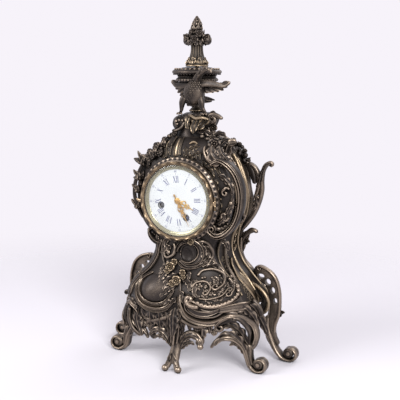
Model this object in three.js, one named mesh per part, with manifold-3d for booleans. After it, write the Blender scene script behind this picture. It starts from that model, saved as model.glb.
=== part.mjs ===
// A rocaille mantel clock in cast bronze: a waisted, hollow case on five scrolled feet, with a winged
// bird, a canopy and a flower finial on top, and a round pendulum movement that strikes on a bell.
// Millimetres. X runs to the right, Y to the back and Z up; the dial faces -Y. The origin is on the
// ground under the middle of the clock's bounding box.
import * as THREE from "three";
import { mergeVertices } from "three/addons/utils/BufferGeometryUtils.js";
import Module from "manifold-3d";

const wasm = await Module();
wasm.setup();

// ---------------------------------------------------------------- driving dimensions
const gap = 0.3; // between pieces that touch
const halfDepth = 64; // from the origin to the toe in front and to the door knob behind
const dialZ = 230; // height of the centre arbor
const doorRadius = 52; // glazed door in front of the dial
const dialFace = -37; // Y of the enamel's front
const shellTop = 312; // top of the cast shell
const caseWall = 4; // thickness of the cast shell
const rearY = 48; // back edge of the shell
const frameThick = 7; // thickness of the rear frame
const finialY = 25; // Y of the axis of everything above the crest
const footRoll = 12.5; // radius of the rolled feet
const footFlat = 0.7; // worn off the bottom of each foot, so that it stands flat
const footSpreadFront = 107; // X of the front side feet
const footSpreadRear = 131; // X of the rear feet
const frontFootY = -10; // Y of the front side feet
const plateRadius = doorRadius - 12; // movement plates
const plateThick = 2;
const plateSpace = 22; // clear space between the plates
const windingRadius = plateRadius * 0.625; // from the centre arbor to each winding square
const movementTurn = -21.5; // degrees that the winding squares are turned from upright
const windingSpread = 51.5; // degrees from the middle to each winding square
const canopyZ = 383; // underside of the canopy's lower flange
const crestTop = 343; // top of the crest, where the baluster stands

// The free forms are drawn in tables for a shell of 312 mm and follow its height.
const unit = shellTop / 312;
const drawn = (rows) => rows.map((row) => row.map((value) => value * unit));

// ---------------------------------------------------------------- tools
const rad = THREE.MathUtils.degToRad;
const vec = (x, y, z) => new THREE.Vector3(x, y, z);

// A closed geometry as a solid with its faces pointing out.
function solid(geometry) {
  const bare = new THREE.BufferGeometry().setAttribute("position", geometry.getAttribute("position").clone());
  if (geometry.index) bare.setIndex(geometry.index.clone());
  const merged = mergeVertices(bare, 1e-4);
  const points = merged.attributes.position;
  const faces = new Uint32Array(merged.index.array);
  const corner = (i) => new THREE.Vector3().fromBufferAttribute(points, faces[i]);
  let volume = 0;
  for (let i = 0; i < faces.length; i += 3) volume += corner(i).dot(corner(i + 1).cross(corner(i + 2)));
  for (let i = 0; volume < 0 && i < faces.length; i += 3) {
    [faces[i + 1], faces[i + 2]] = [faces[i + 2], faces[i + 1]];
  }
  const mesh = new wasm.Mesh({ numProp: 3, vertProperties: points.array, triVerts: faces });
  return new wasm.Manifold(mesh);
}

function geometryOf(shape) {
  const mesh = shape.getMesh();
  const geometry = new THREE.BufferGeometry();
  geometry.setAttribute("position", new THREE.BufferAttribute(new Float32Array(mesh.vertProperties), 3));
  geometry.setIndex(new THREE.BufferAttribute(new Uint32Array(mesh.triVerts), 1));
  geometry.computeVertexNormals();
  return geometry;
}

const join = (...shapes) => shapes.reduce((a, b) => a.add(b));
const cut = (shape, ...tools) => tools.reduce((a, b) => a.subtract(b), shape);
const at = (shape, x, y, z) => solid(geometryOf(shape).translate(x, y, z));
const mirrored = (shape) => solid(geometryOf(shape).scale(-1, 1, 1));

// Turned about the Y axis: profile points are [radius, y], and the outline closes on itself.
function turnedY(points, segments = 32) {
  const profile = points.map(([r, y]) => new THREE.Vector2(r, y));
  profile.push(profile[0].clone());
  return solid(new THREE.LatheGeometry(profile, segments));
}

// Turned about the Z axis: profile points are [radius, z] from the bottom to the top of a solid form.
function turnedZ(points, segments = 24) {
  const profile = points.map(([r, z]) => new THREE.Vector2(r, z));
  profile.unshift(new THREE.Vector2(0, points[0][1]));
  profile.push(new THREE.Vector2(0, points.at(-1)[1]));
  return solid(new THREE.LatheGeometry(profile, segments).rotateX(Math.PI / 2));
}

// A round bar along Y from y0 to y1.
function barY(radius, y0, y1, segments = 12) {
  return at(solid(new THREE.CylinderGeometry(radius, radius, y1 - y0, segments)), 0, (y0 + y1) / 2, 0);
}

// A round bar along Z from z0 to z1.
function barZ(radius, z0, z1, segments = 12) {
  const bar = new THREE.CylinderGeometry(radius, radius, z1 - z0, segments).rotateX(Math.PI / 2);
  return at(solid(bar), 0, 0, (z0 + z1) / 2);
}

function block(x0, x1, y0, y1, z0, z1) {
  const box = solid(new THREE.BoxGeometry(x1 - x0, y1 - y0, z1 - z0));
  return at(box, (x0 + x1) / 2, (y0 + y1) / 2, (z0 + z1) / 2);
}

// A flat shape drawn in X and Z, as a plate from y0 to y1.
function plateY(shape, y0, y1, curveSegments = 8) {
  const plate = new THREE.ExtrudeGeometry(shape, { depth: y1 - y0, bevelEnabled: false, curveSegments });
  return solid(plate.rotateX(Math.PI / 2).translate(0, y1, 0));
}

const outline = (points) => new THREE.Shape(points.map(([x, z]) => new THREE.Vector2(x, z)));

function smoothOutline(points, divisions) {
  const loop = new THREE.CatmullRomCurve3(points.map(([x, z]) => vec(x, z, 0)), true);
  return new THREE.Shape(loop.getPoints(divisions).slice(0, -1).map((p) => new THREE.Vector2(p.x, p.y)));
}

// A closed skin over rings of points, each ring closed and all with the same count.
function skin(rings) {
  const count = rings[0].length;
  const centre = (ring) => ring.reduce((sum, p) => sum.add(p), vec(0, 0, 0)).divideScalar(count);
  const points = [...rings.flat(), centre(rings[0]), centre(rings.at(-1))];
  const faces = [];
  const first = points.length - 2;
  const last = points.length - 1;
  const lastRing = (rings.length - 1) * count;
  for (let i = 0; i < count; i++) {
    const next = (i + 1) % count;
    for (let row = 0; row < lastRing; row += count) {
      faces.push(row + i, row + next, row + count + i);
      faces.push(row + next, row + count + next, row + count + i);
    }
    faces.push(first, next, i);
    faces.push(last, lastRing + i, lastRing + next);
  }
  const geometry = new THREE.BufferGeometry().setFromPoints(points);
  geometry.setIndex(faces);
  return solid(geometry);
}

// A scroll: an oval section carried along a smooth path. Each stop is [x, y, z, half width, half depth].
function scroll(stops, steps = 18, sides = 6) {
  const path = new THREE.CatmullRomCurve3(stops.map(([x, y, z]) => vec(x, y, z)));
  const size = new THREE.CatmullRomCurve3(stops.map((s) => vec(s[3], s[4], 0)));
  const rings = [];
  for (let i = 0; i <= steps; i++) {
    const t = i / steps;
    const middle = path.getPoint(t);
    const along = path.getTangent(t);
    const across = along.clone().cross(vec(0, 1, 0)).normalize();
    const out = across.clone().cross(along).normalize();
    const half = size.getPoint(t);
    const ring = [];
    for (let k = 0; k < sides; k++) {
      const turn = (2 * Math.PI * (k + 0.5)) / sides;
      const side = across.clone().multiplyScalar(half.x * Math.cos(turn));
      ring.push(side.addScaledVector(out, half.y * Math.sin(turn)).add(middle));
    }
    rings.push(ring);
  }
  return skin(rings);
}

// An egg-shaped lump.
function lump(x, y, z, rx, ry, rz, segments = 7) {
  const ball = new THREE.SphereGeometry(1, segments, Math.ceil(segments * 0.6)).rotateX(Math.PI / 2);
  return solid(ball.scale(rx, ry, rz).translate(x, y, z));
}

// Smooth values between the rows of a table whose first column is the height.
function smoothTable(rows) {
  const width = rows[0].length - 1;
  const heights = rows.map((row) => row[0]);
  const values = rows.flatMap((row) => row.slice(1));
  const reader = new THREE.CubicInterpolant(heights, values, width);
  return (z) => Array.from(reader.evaluate(THREE.MathUtils.clamp(z, heights[0], heights.at(-1))));
}

const clock = new THREE.Group();
function finish(colour, roughness, metalness) {
  return new THREE.MeshStandardMaterial({ color: colour, roughness, metalness });
}
const bronze = finish(0x4a3c2c, 0.45, 0.85);
const brass = finish(0xb89a5a, 0.3, 0.9);
const steel = finish(0x7a7d82, 0.35, 0.9);
const enamel = finish(0xf4f4f2, 0.2, 0);
const gilt = finish(0xcf9d4e, 0.3, 0.9);
const glass = finish(0xeef4f4, 0.05, 0);

function part(name, shape, material) {
  const mesh = new THREE.Mesh(geometryOf(shape), material);
  mesh.name = name;
  clock.add(mesh);
}

// ---------------------------------------------------------------- the cast case
const bezelSeat = dialFace + 0.8; // front of the collar round the dial
const boreRadius = doorRadius - 4; // bore of the collar
const collarRadius = doorRadius + 5;
const caseLevels = 16; // facets up the height of the shell
const shellBottom = 60 * unit;

// Half width of the front, half width of the back, Y of the front's side edges, how far the middle
// of the front stands out from them, and how far each of the two cushions stands out.
const bodyTable = smoothTable(drawn([
  [60, 66, 78, -16, 32, 4],
  [78, 80, 92, -18, 34, 7],
  [92, 88, 99, -18, 35, 9],
  [108, 80, 92, -18, 33, 7],
  [122, 68, 79, -18, 28, 3],
  [138, 53, 64, -18, 23, 0],
  [160, 43, 56, -18, 17, 0],
  [178, 48, 57, -18, 14, 0],
  [196, 61, 64, -18, 12, 0],
  [212, 67, 69, -18, 12, 0],
  [230, 70, 71, -18, 12, 0],
  [252, 68, 67, -18, 12, 0],
  [276, 58, 60, -17, 10, 0],
  [294, 43, 48, -14, 8, 0],
  [305, 32, 37, -10, 6, 0],
  [312, 22, 27, -4, 4, 0],
]));

// One level of the shell, moved outwards by grow, as a closed loop of points.
function bodyRing(z, grow, back) {
  const [front, rear, edgeY, depth, cushion] = bodyTable(z);
  const frontSteps = 12;
  const sideSteps = 2;
  const ring = [];
  for (let i = 0; i <= frontSteps; i++) {
    const s = -1 + (2 * i) / frontSteps;
    const lobe = cushion * Math.exp(-(((Math.abs(s) - 0.52) / 0.24) ** 2));
    const y = edgeY - depth * (1 - Math.abs(s) ** 2.4) - lobe;
    ring.push(vec((front + grow) * s, y - grow, z));
  }
  for (let i = 1; i <= sideSteps; i++) {
    const t = i / sideSteps;
    const hollow = 3 * unit * Math.sin(Math.PI * t);
    const x = THREE.MathUtils.lerp(front, rear, t) - hollow + grow;
    ring.push(vec(x, THREE.MathUtils.lerp(edgeY - grow, back, t), z));
  }
  ring.push(vec(0, back, z), vec(-rear - grow, back, z));
  for (let i = sideSteps - 1; i >= 1; i--) {
    const t = i / sideSteps;
    const hollow = 3 * unit * Math.sin(Math.PI * t);
    const x = THREE.MathUtils.lerp(front, rear, t) - hollow + grow;
    ring.push(vec(-x, THREE.MathUtils.lerp(edgeY - grow, back, t), z));
  }
  return ring;
}

function bodySolid(grow, bottom, top, levels, back) {
  const rings = [];
  for (let i = 0; i <= levels; i++) rings.push(bodyRing(bottom + ((top - bottom) * i) / levels, grow, back));
  return skin(rings);
}

// The lower edge: a bow under each cushion, rising over the legs.
const rimPoints = drawn([
  [0, 77],
  [12, 71],
  [34, 64],
  [52, 69],
  [68, 80],
  [88, 84],
]);
function underRim(drop) {
  const half = new THREE.SplineCurve(rimPoints.map(([x, z]) => new THREE.Vector2(x, z - drop))).getPoints(11);
  const left = half.slice(1).reverse().map((p) => [-p.x, p.y]);
  const right = half.map((p) => [p.x, p.y]);
  const edge = [[-160, rimPoints.at(-1)[1] - drop], ...left, ...right, [160, rimPoints.at(-1)[1] - drop]];
  return plateY(outline([[-160, -40], [160, -40], ...edge.reverse()]), -120, 120);
}

const alongDial = (shape) => at(shape, 0, 0, dialZ);
const collar = (grow) => alongDial(barY(collarRadius + grow, bezelSeat - grow, rearY - 20, 32));
const rodRadius = 2.5; // threaded rod that holds the top ornament down

// The main raised work cast with the shell, each strap grown all round by grow.
function faceY(x, z) {
  const [front, , edgeY, depth, cushion] = bodyTable(z);
  const s = Math.min(Math.abs(x) / front, 1);
  return edgeY - depth * (1 - s ** 2.4) - cushion * Math.exp(-(((s - 0.52) / 0.24) ** 2));
}
const strapRise = 3.2; // how far the lesser straps stand out of the shell
const strapHalf = 2.4; // half width of the lesser straps
const facet = 1.25; // a strap of four facets stands for an oval that much narrower
function relief(grow) {
  const grown = (stops) => stops.map(([x, y, z, w, h]) => [x, y, z, w + grow, h + grow]);
  const onFace = (rows, w, h, steps) =>
    scroll(grown(drawn(rows).map(([x, z]) => [x, faceY(x, z), z, w * facet, h * facet])), steps, 4);
  const edge = (rows, w, h, steps) =>
    scroll(grown(drawn(rows).map((row) => [...row, w * facet, h * facet])), steps, 4);
  const rimLine = rimPoints.slice(0, -1).map(([x, z]) => [x / unit, z / unit + 2.2]);
  const leftRim = rimLine.slice(1).reverse().map(([x, z]) => [-x, z]);
  const flank = [
    edge([[51, 29, 288], [67, 28, 251], [70.5, 28, 231], [58, 30, 190], [50, 31, 160], [62, 26, 132], [90, 22, 98], [93, 22, 86]], 1.2 * strapRise, 0.8 * strapHalf, 9),
    edge([[56, 36, 279], [67.5, 37, 249], [70.5, 38, 230], [57, 41, 184], [54, 42, 160], [76, 40, 122], [98, 44, 90]], 1.2 * strapRise, 0.8 * strapHalf, 7),
  ];
  return [
    onFace([...leftRim, ...rimLine], strapHalf, strapRise, 12),
    at(lump(0, 0, 0, 23 * unit + grow, 2 * strapRise + grow, 18 * unit + grow, 8), -28 * unit, faceY(-28 * unit, 111 * unit) + 1, 111 * unit),
    onFace([[-59, 118], [-62, 107], [-54, 97], [-40, 88.5], [-24, 85], [-9, 90]], strapHalf, 1.2 * strapRise, 8),
    onFace([[-37, 130], [-54, 117], [-53, 104], [-41, 95], [-27, 91], [-13, 94]], strapHalf, 1.1 * strapRise, 8),
    edge([[-27, -29, 174], [-34, -28, 151], [-44, -29, 134], [-60, -27, 119], [-73, -26, 106], [-84, -18, 86]], 1.3 * strapHalf, 1.2 * strapRise, 7),
    edge([[47, 17, 170], [47, 12, 155], [53, 4, 140], [66, -4, 126], [77, -13, 112], [79, -22, 104], [73, -32, 99]], 1.1 * strapHalf, 1.2 * strapRise, 8),
    onFace([[73, 99], [59, 95], [45, 97], [33, 101], [24, 102]], 1.1 * strapHalf, 1.2 * strapRise, 6),
    onFace([[30, 131], [34, 138], [46, 139], [57, 132], [61, 122], [55, 115]], 0.9 * strapHalf, strapRise, 7),
    onFace([[26, 117], [32, 124], [41, 124], [47, 118], [45, 111]], 0.9 * strapHalf, strapRise, 6),
    onFace([[12, 96], [22, 81], [38, 74.5], [54, 73.5], [68, 81], [80, 86]], 1.6 * strapHalf, 1.4 * strapRise, 9),
    onFace([[-6.5, 284], [-7, 298], [-6, 310]], 2.2 * strapHalf, 0.5 * strapRise, 3),
    ...flank,
    ...flank.map(mirrored),
  ];
}
const bodyOuter = cut(
  join(bodySolid(0, shellBottom, shellTop, caseLevels, rearY), collar(0), ...relief(0)),
  underRim(0),
);
const bodyCavity = bodySolid(-caseWall, shellBottom - 6, shellTop - 2 * caseWall, 12, rearY + 10);
const cavityBack = block(-40, 40, rearY - 5, rearY + 10, shellBottom - 8, shellTop - 30);
const caseBody = cut(
  bodyOuter,
  bodyCavity,
  cavityBack,
  alongDial(barY(boreRadius, bezelSeat - 5, rearY + 5, 36)),
  at(barZ(rodRadius + gap, shellTop - 30, shellTop + 5), 0, finialY, 0),
);
part("case_body", caseBody, bronze);
// What every ornament that lies on the shell is cut back to.
const shellClear = cut(
  join(bodySolid(gap, shellBottom, shellTop + gap, caseLevels, rearY), collar(gap), ...relief(gap)),
  underRim(gap),
);

// ---------------------------------------------------------------- rear frame, with its hooked arms
const frameFront = rearY + gap;
const frameBack = frameFront + frameThick;
const rearOpening = doorRadius - 5; // radius of the round hole behind the movement
const frameEdge = drawn([
  [0, 318],
  [22, 313],
  [39, 304],
  [53, 290],
  [62, 276],
  [67, 262],
  [70, 247],
  [75, 236],
  [78, 222],
  [74, 205],
  [64, 188],
  [58, 174],
  [57, 152],
  [61, 136],
  [72, 124],
  [80, 112],
  [84, 98],
  [80, 84],
  [60, 80],
]);
const frameLoop = [...frameEdge, ...frameEdge.slice(1).reverse().map(([x, z]) => [-x, z])];
const pendulumHole = smoothOutline(
  drawn([
    [0, 88], [40, 90], [58, 100], [50, 118], [36, 136], [28, 156], [0, 166],
    [-28, 156], [-36, 136], [-50, 118], [-58, 100], [-40, 90],
  ]),
  28,
);
const armStops = drawn([
  [74, 0, 212, 4, 3],
  [81, 0, 227, 4, 3.2],
  [84, 0, 243, 3.6, 3],
  [85, 0, 257, 3.2, 2.8],
  [88, 0, 268, 2.6, 2.4],
  [95, 0, 274, 2.2, 2],
]);
const hookStops = drawn([
  [56, 0, 280, 3, 3],
  [67, 0, 279, 3.4, 3.2],
  [76, 0, 270, 3.6, 3.2],
  [79, 0, 256, 3.8, 3.2],
  [79, 0, 238, 3.8, 3.2],
  [75, 0, 218, 3.5, 3],
]);
const leafStops = drawn([
  [55, 0, 158, 4, 3],
  [60, 0, 172, 4, 3],
  [68, 0, 180, 3.5, 2.6],
  [77, 0, 180, 2.2, 2],
]);
const hooks = [armStops, hookStops, leafStops].map((stops) => scroll(stops, 6, 6));
const rightHooks = at(join(...hooks), 0, frameFront + frameThick / 2, 0);
const framePlate = plateY(smoothOutline(frameLoop, 48), frameFront, frameBack);
const rearFrame = cut(
  join(framePlate, rightHooks, mirrored(rightHooks)),
  plateY(pendulumHole, frameFront - 5, frameBack + 5),
  alongDial(barY(rearOpening, frameFront - 5, frameBack + 5, 32)),
);
part("rear_frame", rearFrame, bronze);

// ---------------------------------------------------------------- pierced rear wings and their feet
const wingThick = 9;
const wingFront = rearY - wingThick / 2;
// The rear leg's edge: the pierced wing above, and the shank below it that follows the roll.
const wingEdge = [
  ...drawn([
    [86, 104], [82, 113], [78, 122], [80, 130], [88, 132], [99, 127], [109, 117], [115, 100], [117, 82],
    [122, 68], [115, 62], [112, 46],
  ]),
  [footSpreadRear - 1.2 * footRoll, 2.56 * footRoll],
  [footSpreadRear - 0.4 * footRoll, 1.92 * footRoll],
  [footSpreadRear, 1.12 * footRoll],
  [footSpreadRear - 0.88 * footRoll, 0.24 * footRoll],
  [footSpreadRear - 2 * footRoll, 1.44 * footRoll],
  ...drawn([[95, 34], [98, 52], [100, 70], [96, 88]]),
];
const wingHoles = drawn([
  [88.5, 117, 4.5, 3],
  [98, 109.5, 3.4, 4],
  [105, 98.5, 2.8, 4.2],
  [109, 84.5, 2.8, 3.8],
]);
const underGround = block(-200, 200, -100, 100, -50, 0);
function wing() {
  const shape = smoothOutline(wingEdge, 40);
  for (const [x, z, rx, rz] of wingHoles) {
    const hole = new THREE.Path();
    hole.absellipse(x, z, rx, rz, 0, 2 * Math.PI);
    shape.holes.push(hole);
  }
  const leaf = plateY(shape, wingFront, wingFront + wingThick, 4);
  const rollThick = wingThick * 2;
  const rollFront = frameBack - rollThick;
  const roll = at(barY(footRoll, rollFront, frameBack, 24), footSpreadRear, 0, footRoll - footFlat);
  return cut(join(leaf, roll), underGround, shellClear, plateY(smoothOutline(frameLoop.map(grown), 48), frameFront - 1, 80));
}
// A point of the rear frame's edge moved outwards from the clock's axis by the gap.
function grown([x, z]) {
  const out = new THREE.Vector2(x, z - 150).setLength(2 * gap);
  return [x + out.x, z + out.y];
}
const rightWing = wing();
part("rear_leg_right", rightWing, bronze);
part("rear_leg_left", mirrored(rightWing), bronze);

// ---------------------------------------------------------------- front feet
function sideLeg() {
  const outer = scroll(
    [
      ...drawn([
        [62, -40, 76, 4, 5],
        [72, -35, 80, 5, 5],
        [84, -20, 78, 5, 6],
        [95, -6, 66, 5.5, 6],
        [98, -2, 52, 5.5, 6],
        [94, -5, 38, 5, 6],
        [93, -8, 24, 5, 6],
      ]),
      [footSpreadFront - 0.8 * footRoll, frontFootY, footRoll, 0.4 * footRoll, 0.56 * footRoll],
      [footSpreadFront - 0.16 * footRoll, frontFootY, 0.5 * footRoll, 0.4 * footRoll, 0.64 * footRoll],
    ],
    18,
  );
  const curl = scroll(
    drawn([
      [72, -33, 76, 4, 4],
      [58, -35, 70, 4, 4],
      [50, -36, 60, 3.5, 4],
      [47, -37, 53, 3.5, 3.5],
    ]),
    7,
  );
  const branch = scroll(
    drawn([
      [45, -34, 31, 2, 3],
      [54, -32, 42, 4, 4],
      [67, -27, 45, 5, 5],
      [81, -17, 38, 5, 5],
      [90, -11, 26, 5, 5],
    ]),
    8,
  );
  const rollHalf = 0.72 * footRoll;
  const roll = at(barY(footRoll, frontFootY - rollHalf, frontFootY + rollHalf, 24), footSpreadFront, 0, footRoll - footFlat);
  const seat = scroll(drawn([[66, -22, 88, 4, 6], [78, -20, 84, 5, 6], [86, -16, 76, 4, 5]]), 4);
  return cut(join(outer, curl, branch, roll, seat), shellClear, underGround);
}
const rightLeg = sideLeg();
part("front_leg_right", rightLeg, bronze);
part("front_leg_left", cut(mirrored(rightLeg), shellClear), bronze);

const toeY = -halfDepth;
function centreFoot() {
  const shin = scroll(
    [
      ...drawn([
        [0, -46, 84, 12, 6],
        [0, -44, 64, 9.5, 6],
        [0, -42, 46, 8, 6],
      ]),
      [0, toeY + 18, 30, 7, 6],
      [0, toeY + 12, 16, 6.5, 6],
      [0, toeY + 8, 6, 9, 5],
    ],
    10,
  );
  const arch = scroll(
    drawn([
      [5, -43, 34, 4, 5],
      [12, -44, 45, 4, 4],
      [24, -45, 52, 4, 4],
      [34, -46, 50, 3.5, 3.5],
      [38, -46, 42, 3.5, 3.5],
      [35, -46, 37, 3.4, 3.4],
    ]),
    7,
  );
  const toeRadius = 5;
  const toe = lump(7, toeY + toeRadius + 2, toeRadius - footFlat, toeRadius, toeRadius + 2, toeRadius, 8);
  const pieces = join(shin, arch, mirrored(arch), toe, mirrored(toe));
  return cut(pieces, shellClear, underGround);
}
part("front_foot_centre", centreFoot(), bronze);

// Pierced apron between the centre foot and each side leg, hung inside the rim.
function apron() {
  const crossbar = scroll(drawn([[14, -39, 69, 5, 2.5], [30, -38, 60, 6, 2.5], [43, -32, 65, 5, 2.5]]), 5);
  const drop = scroll(drawn([[32, -39, 62, 7, 3], [33, -39, 50, 6, 3], [34, -39, 40, 2.5, 2]]), 4);
  const curl = scroll(drawn([[22, -38, 66, 3, 2.5], [19, -39, 56, 3, 2.5], [26, -39, 57, 3, 2.5]]), 5);
  const tongue = block(...drawn([[26, 37, -38, -32, 58, 78]])[0]);
  return cut(join(crossbar, drop, curl, tongue), bodyShellOnly);
}
const bodyShellOnly = cut(
  shellClear,
  bodySolid(-caseWall - gap, shellBottom - 6, shellTop - 2 * caseWall, 12, rearY + 10),
);
const rightApron = apron();
part("apron_right", rightApron, bronze);
part("apron_left", cut(mirrored(rightApron), shellClear), bronze);

// ---------------------------------------------------------------- ornament on the front
const leafSpray = (x, z, lean) =>
  scroll(drawn([[x, -21, z, 3, 3], [x - 5, -22, z + 5, 5, 2.5], [x - 8 - lean, -23, z + 14, 1.2, 1.2]]), 4, 5);
const garlandStem = scroll(
  drawn([
    [-26, -10, 312, 8, 8],
    [-40, -13, 298, 8, 7],
    [-54, -18, 278, 6, 5],
    [-64, -21, 256, 5, 4],
    [-69, -22, 232, 4, 4],
    [-67, -22, 208, 4, 4],
  ]),
  10,
);
const sprays = [[-57, 278, 2], [-63, 260, 3], [-67, 243, 2], [-69, 224, 0], [-67, 206, -1]];
const garland = cut(join(garlandStem, ...sprays.map((s) => leafSpray(...s))), shellClear);
part("flower_garland", garland, bronze);

const cScroll = scroll(
  drawn([
    [29, -12, 312, 6, 6],
    [40, -15, 298, 7, 7],
    [51, -19, 282, 6, 6],
    [63, -22, 265, 5, 6],
    [72, -24, 241, 5, 6],
    [72, -25, 217, 5, 6],
    [65, -26, 199, 5, 6],
    [54, -30, 187, 6, 6],
    [45, -34, 179, 7, 5],
  ]),
  18,
);
part("acanthus_scroll", cut(cScroll, shellClear), bronze);

const waistShell = join(
  scroll(
    drawn([
      [4, -35, 172, 3, 5],
      [16, -37, 173.5, 4, 6],
      [28, -36, 168, 4, 6],
      [29, -38, 154, 4, 6],
      [18, -42, 146, 4, 6],
      [5, -44, 148, 4, 6],
      [-4, -45, 138, 5, 6],
      [-3, -49, 122, 6, 6],
      [0, -53, 104, 5, 5],
    ]),
    18,
  ),
  scroll(drawn([[-8, -34, 172, 3, 5], [-16, -33, 166, 4, 5], [-13, -35, 154, 4, 5], [-4, -43, 143, 4, 6]]), 6),
  ...drawn([[-9, -43, 138, 7, 7, 7], [-6, -49, 122, 7, 7, 7]]).map((berry) => lump(...berry)),
);
part("waist_cartouche", cut(waistShell, shellClear), bronze);

// ---------------------------------------------------------------- crest and everything above it
const alongFinial = (shape) => at(shape, 0, finialY, 0);
const balusterFoot = 11;
const rodHole = alongFinial(barZ(rodRadius + gap, shellTop - 10, crestTop + 5));
const crestRock = alongFinial(
  turnedZ(
    [[31, shellTop - 16], [30, shellTop], [27, shellTop + 12], [25, crestTop - 6], [24, crestTop]],
    14,
  ),
);
const crestLumps = drawn([
  [-17, 9, 329, 11, 10, 14],
  [-27, 10, 315, 9, 9, 10],
  [20, 5, 330, 12, 11, 13],
  [31, 14, 334, 9, 8, 8],
  [40, 17, 335, 6, 5, 4],
  [28, 8, 318, 9, 8, 9],
  [6, 1, 322, 14, 9, 12],
]);
const behindShell = block(-60, 60, rearY, rearY + 40, shellTop - 30, crestTop + 5);
const crest = cut(join(crestRock, ...crestLumps.map((c) => lump(...c))), shellClear, rodHole, behindShell);
part("crest", crest, bronze);

const balusterBottom = crestTop + gap;
const baluster = cut(
  alongFinial(
    turnedZ(
      [
        [balusterFoot, balusterBottom],
        [balusterFoot, balusterBottom + 2],
        [6, balusterBottom + 6],
        [8, balusterBottom + 16],
        [5.5, canopyZ - 10],
        [10, canopyZ - gap],
      ],
      14,
    ),
  ),
  alongFinial(barZ(rodRadius + gap, crestTop - 5, canopyZ + 5)),
);
part("baluster", baluster, bronze);

const canopyTop = canopyZ + 20;
const canopyRadius = 36;
const canopy = cut(
  alongFinial(
    turnedZ(
      [
        [26, canopyZ],
        [33, canopyZ + 2],
        [32, canopyZ + 5],
        [28, canopyZ + 7],
        [28, canopyZ + 10],
        [canopyRadius - 1, canopyZ + 12],
        [canopyRadius, canopyZ + 15],
        [canopyRadius - 3, canopyZ + 17],
        [18, canopyTop],
      ],
      24,
    ),
  ),
  alongFinial(barZ(rodRadius + gap, canopyZ - 5, canopyTop + 5)),
);
part("canopy_plate", canopy, bronze);

const vaseBottom = canopyTop + gap;
const vaseTop = vaseBottom + 33;
const vase = cut(
  alongFinial(
    turnedZ(
      [
        [14, vaseBottom],
        [15.5, vaseBottom + 3],
        [15.5, vaseBottom + 6],
        [13.5, vaseBottom + 8.5],
        [8.5, vaseBottom + 16],
        [7.2, vaseBottom + 24],
        [8, vaseTop],
      ],
      16,
    ),
  ),
  alongFinial(barZ(rodRadius + gap, vaseBottom - 5, vaseTop + 5)),
);
part("finial_vase", vase, bronze);

// The rod runs from a nut under the shell's roof up into the bouquet, which screws on to it.
const rodTop = vaseTop + 8;
const roofUnder = shellTop - 2 * caseWall;
const rodNutThick = 4;
const rod = join(
  barZ(rodRadius, roofUnder - rodNutThick - 4, rodTop),
  barZ(6, roofUnder - rodNutThick - gap, roofUnder - gap, 6),
);
part("top_rod", alongFinial(rod), steel);

const bouquetBottom = vaseTop + gap;
const finialTop = bouquetBottom + 31;
const cone = turnedZ(
  [
    [6, bouquetBottom],
    [12, bouquetBottom + 4],
    [11, bouquetBottom + 12],
    [8, bouquetBottom + 20],
    [4, bouquetBottom + 26],
    [1, finialTop],
  ],
  12,
);
const bouquet = cut(
  alongFinial(join(cone, lump(14, 0, bouquetBottom + 7, 6, 6, 7), lump(-14, 0, bouquetBottom + 8, 6, 6, 8))),
  alongFinial(barZ(rodRadius + gap, bouquetBottom - 5, rodTop + gap)),
);
part("finial_bouquet", bouquet, bronze);

// The bird stands on the crest in front of the baluster, its wings raised under the canopy and its
// neck bent forward past the canopy's edge.
const birdX = 5;
const birdY = finialY - 19;
const wingSpan = 46; // from the bird's middle to each wing tip
const birdHalf = join(
  scroll(
    [
      [4, birdY + 1, 370, 5, 5],
      [0.35 * wingSpan, birdY + 3, 373, 9, 3.5],
      [0.7 * wingSpan, birdY + 8, 375.5, 6, 3],
      [wingSpan, birdY + 14, 382, 2, 2],
    ],
    7,
  ),
  scroll([[10, birdY - 2, 360, 8, 7], [17, birdY - 2, 352, 4.5, 4.5], [18.5, birdY, crestTop + 3, 2.4, 3]], 4, 5),
  lump(18.5, birdY - 1, crestTop + 2.4, 3.4, 5, 2),
);
const bird = cut(
  join(
    at(
      join(
        lump(0, birdY, 363, 15, 9.5, 13, 10),
        scroll([[0, birdY + 4, 358, 6, 4], [-3, birdY + 3, 351, 5, 3], [-4, birdY + 2, 347, 3, 2]], 3),
        birdHalf,
        mirrored(birdHalf),
      ),
      birdX,
      0,
      0,
    ),
    scroll(
      [
        [birdX + 2, birdY - 1, 366, 8, 7],
        [birdX + 6, birdY - 11, 376, 5.5, 5.5],
        [birdX + 12, birdY - 22, 388, 4, 4],
        [birdX + 16, birdY - 23, 397, 3.8, 3.8],
        [birdX + 24, birdY - 23, 400, 3, 3],
      ],
      9,
    ),
  ),
  alongFinial(turnedZ([[balusterFoot + 2 * gap, crestTop - 1], [balusterFoot + 2 * gap, canopyZ + 2]], 16)),
  alongFinial(turnedZ([[canopyRadius + 3 * gap, canopyZ - gap], [canopyRadius + 3 * gap, canopyTop + 2]], 24)),
  block(-60, 60, -80, 80, crestTop - 40, crestTop + gap),
);
part("winged_bird", bird, bronze);

// ---------------------------------------------------------------- front ring, door and dial
const dialRadius = doorRadius - 9;
const dialThick = 1.6;
const dialTurn = 4.5; // degrees that the enamel has slipped round anticlockwise
const ringFacets = 30;
const ringBore = doorRadius - 7;
const ringFlange = doorRadius - 1;
const flangeBack = bezelSeat - gap;
const flangeFront = flangeBack - 1.5;
const frontRing = turnedY(
  [
    [ringBore, flangeFront],
    [ringFlange, flangeFront],
    [ringFlange, flangeBack],
    [boreRadius - gap, flangeBack],
    [boreRadius - gap, dialFace + 15],
    [ringBore, dialFace + 15],
  ],
  ringFacets,
);
const doorBack = flangeFront - gap;
const doorFront = doorBack - 4.8;
const doorBore = doorRadius - 4.8;
const glassLap = 1.3; // of the glass over the door's bore
const glassRadius = doorBore + glassLap;
const glassBack = doorBack - 2.4;
const glassThick = 1;
const hingeX = doorRadius + 2;
const hingeY = doorBack - 0.2;
const knuckleRadius = 1.8;
const hingePinRadius = 0.7;
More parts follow.
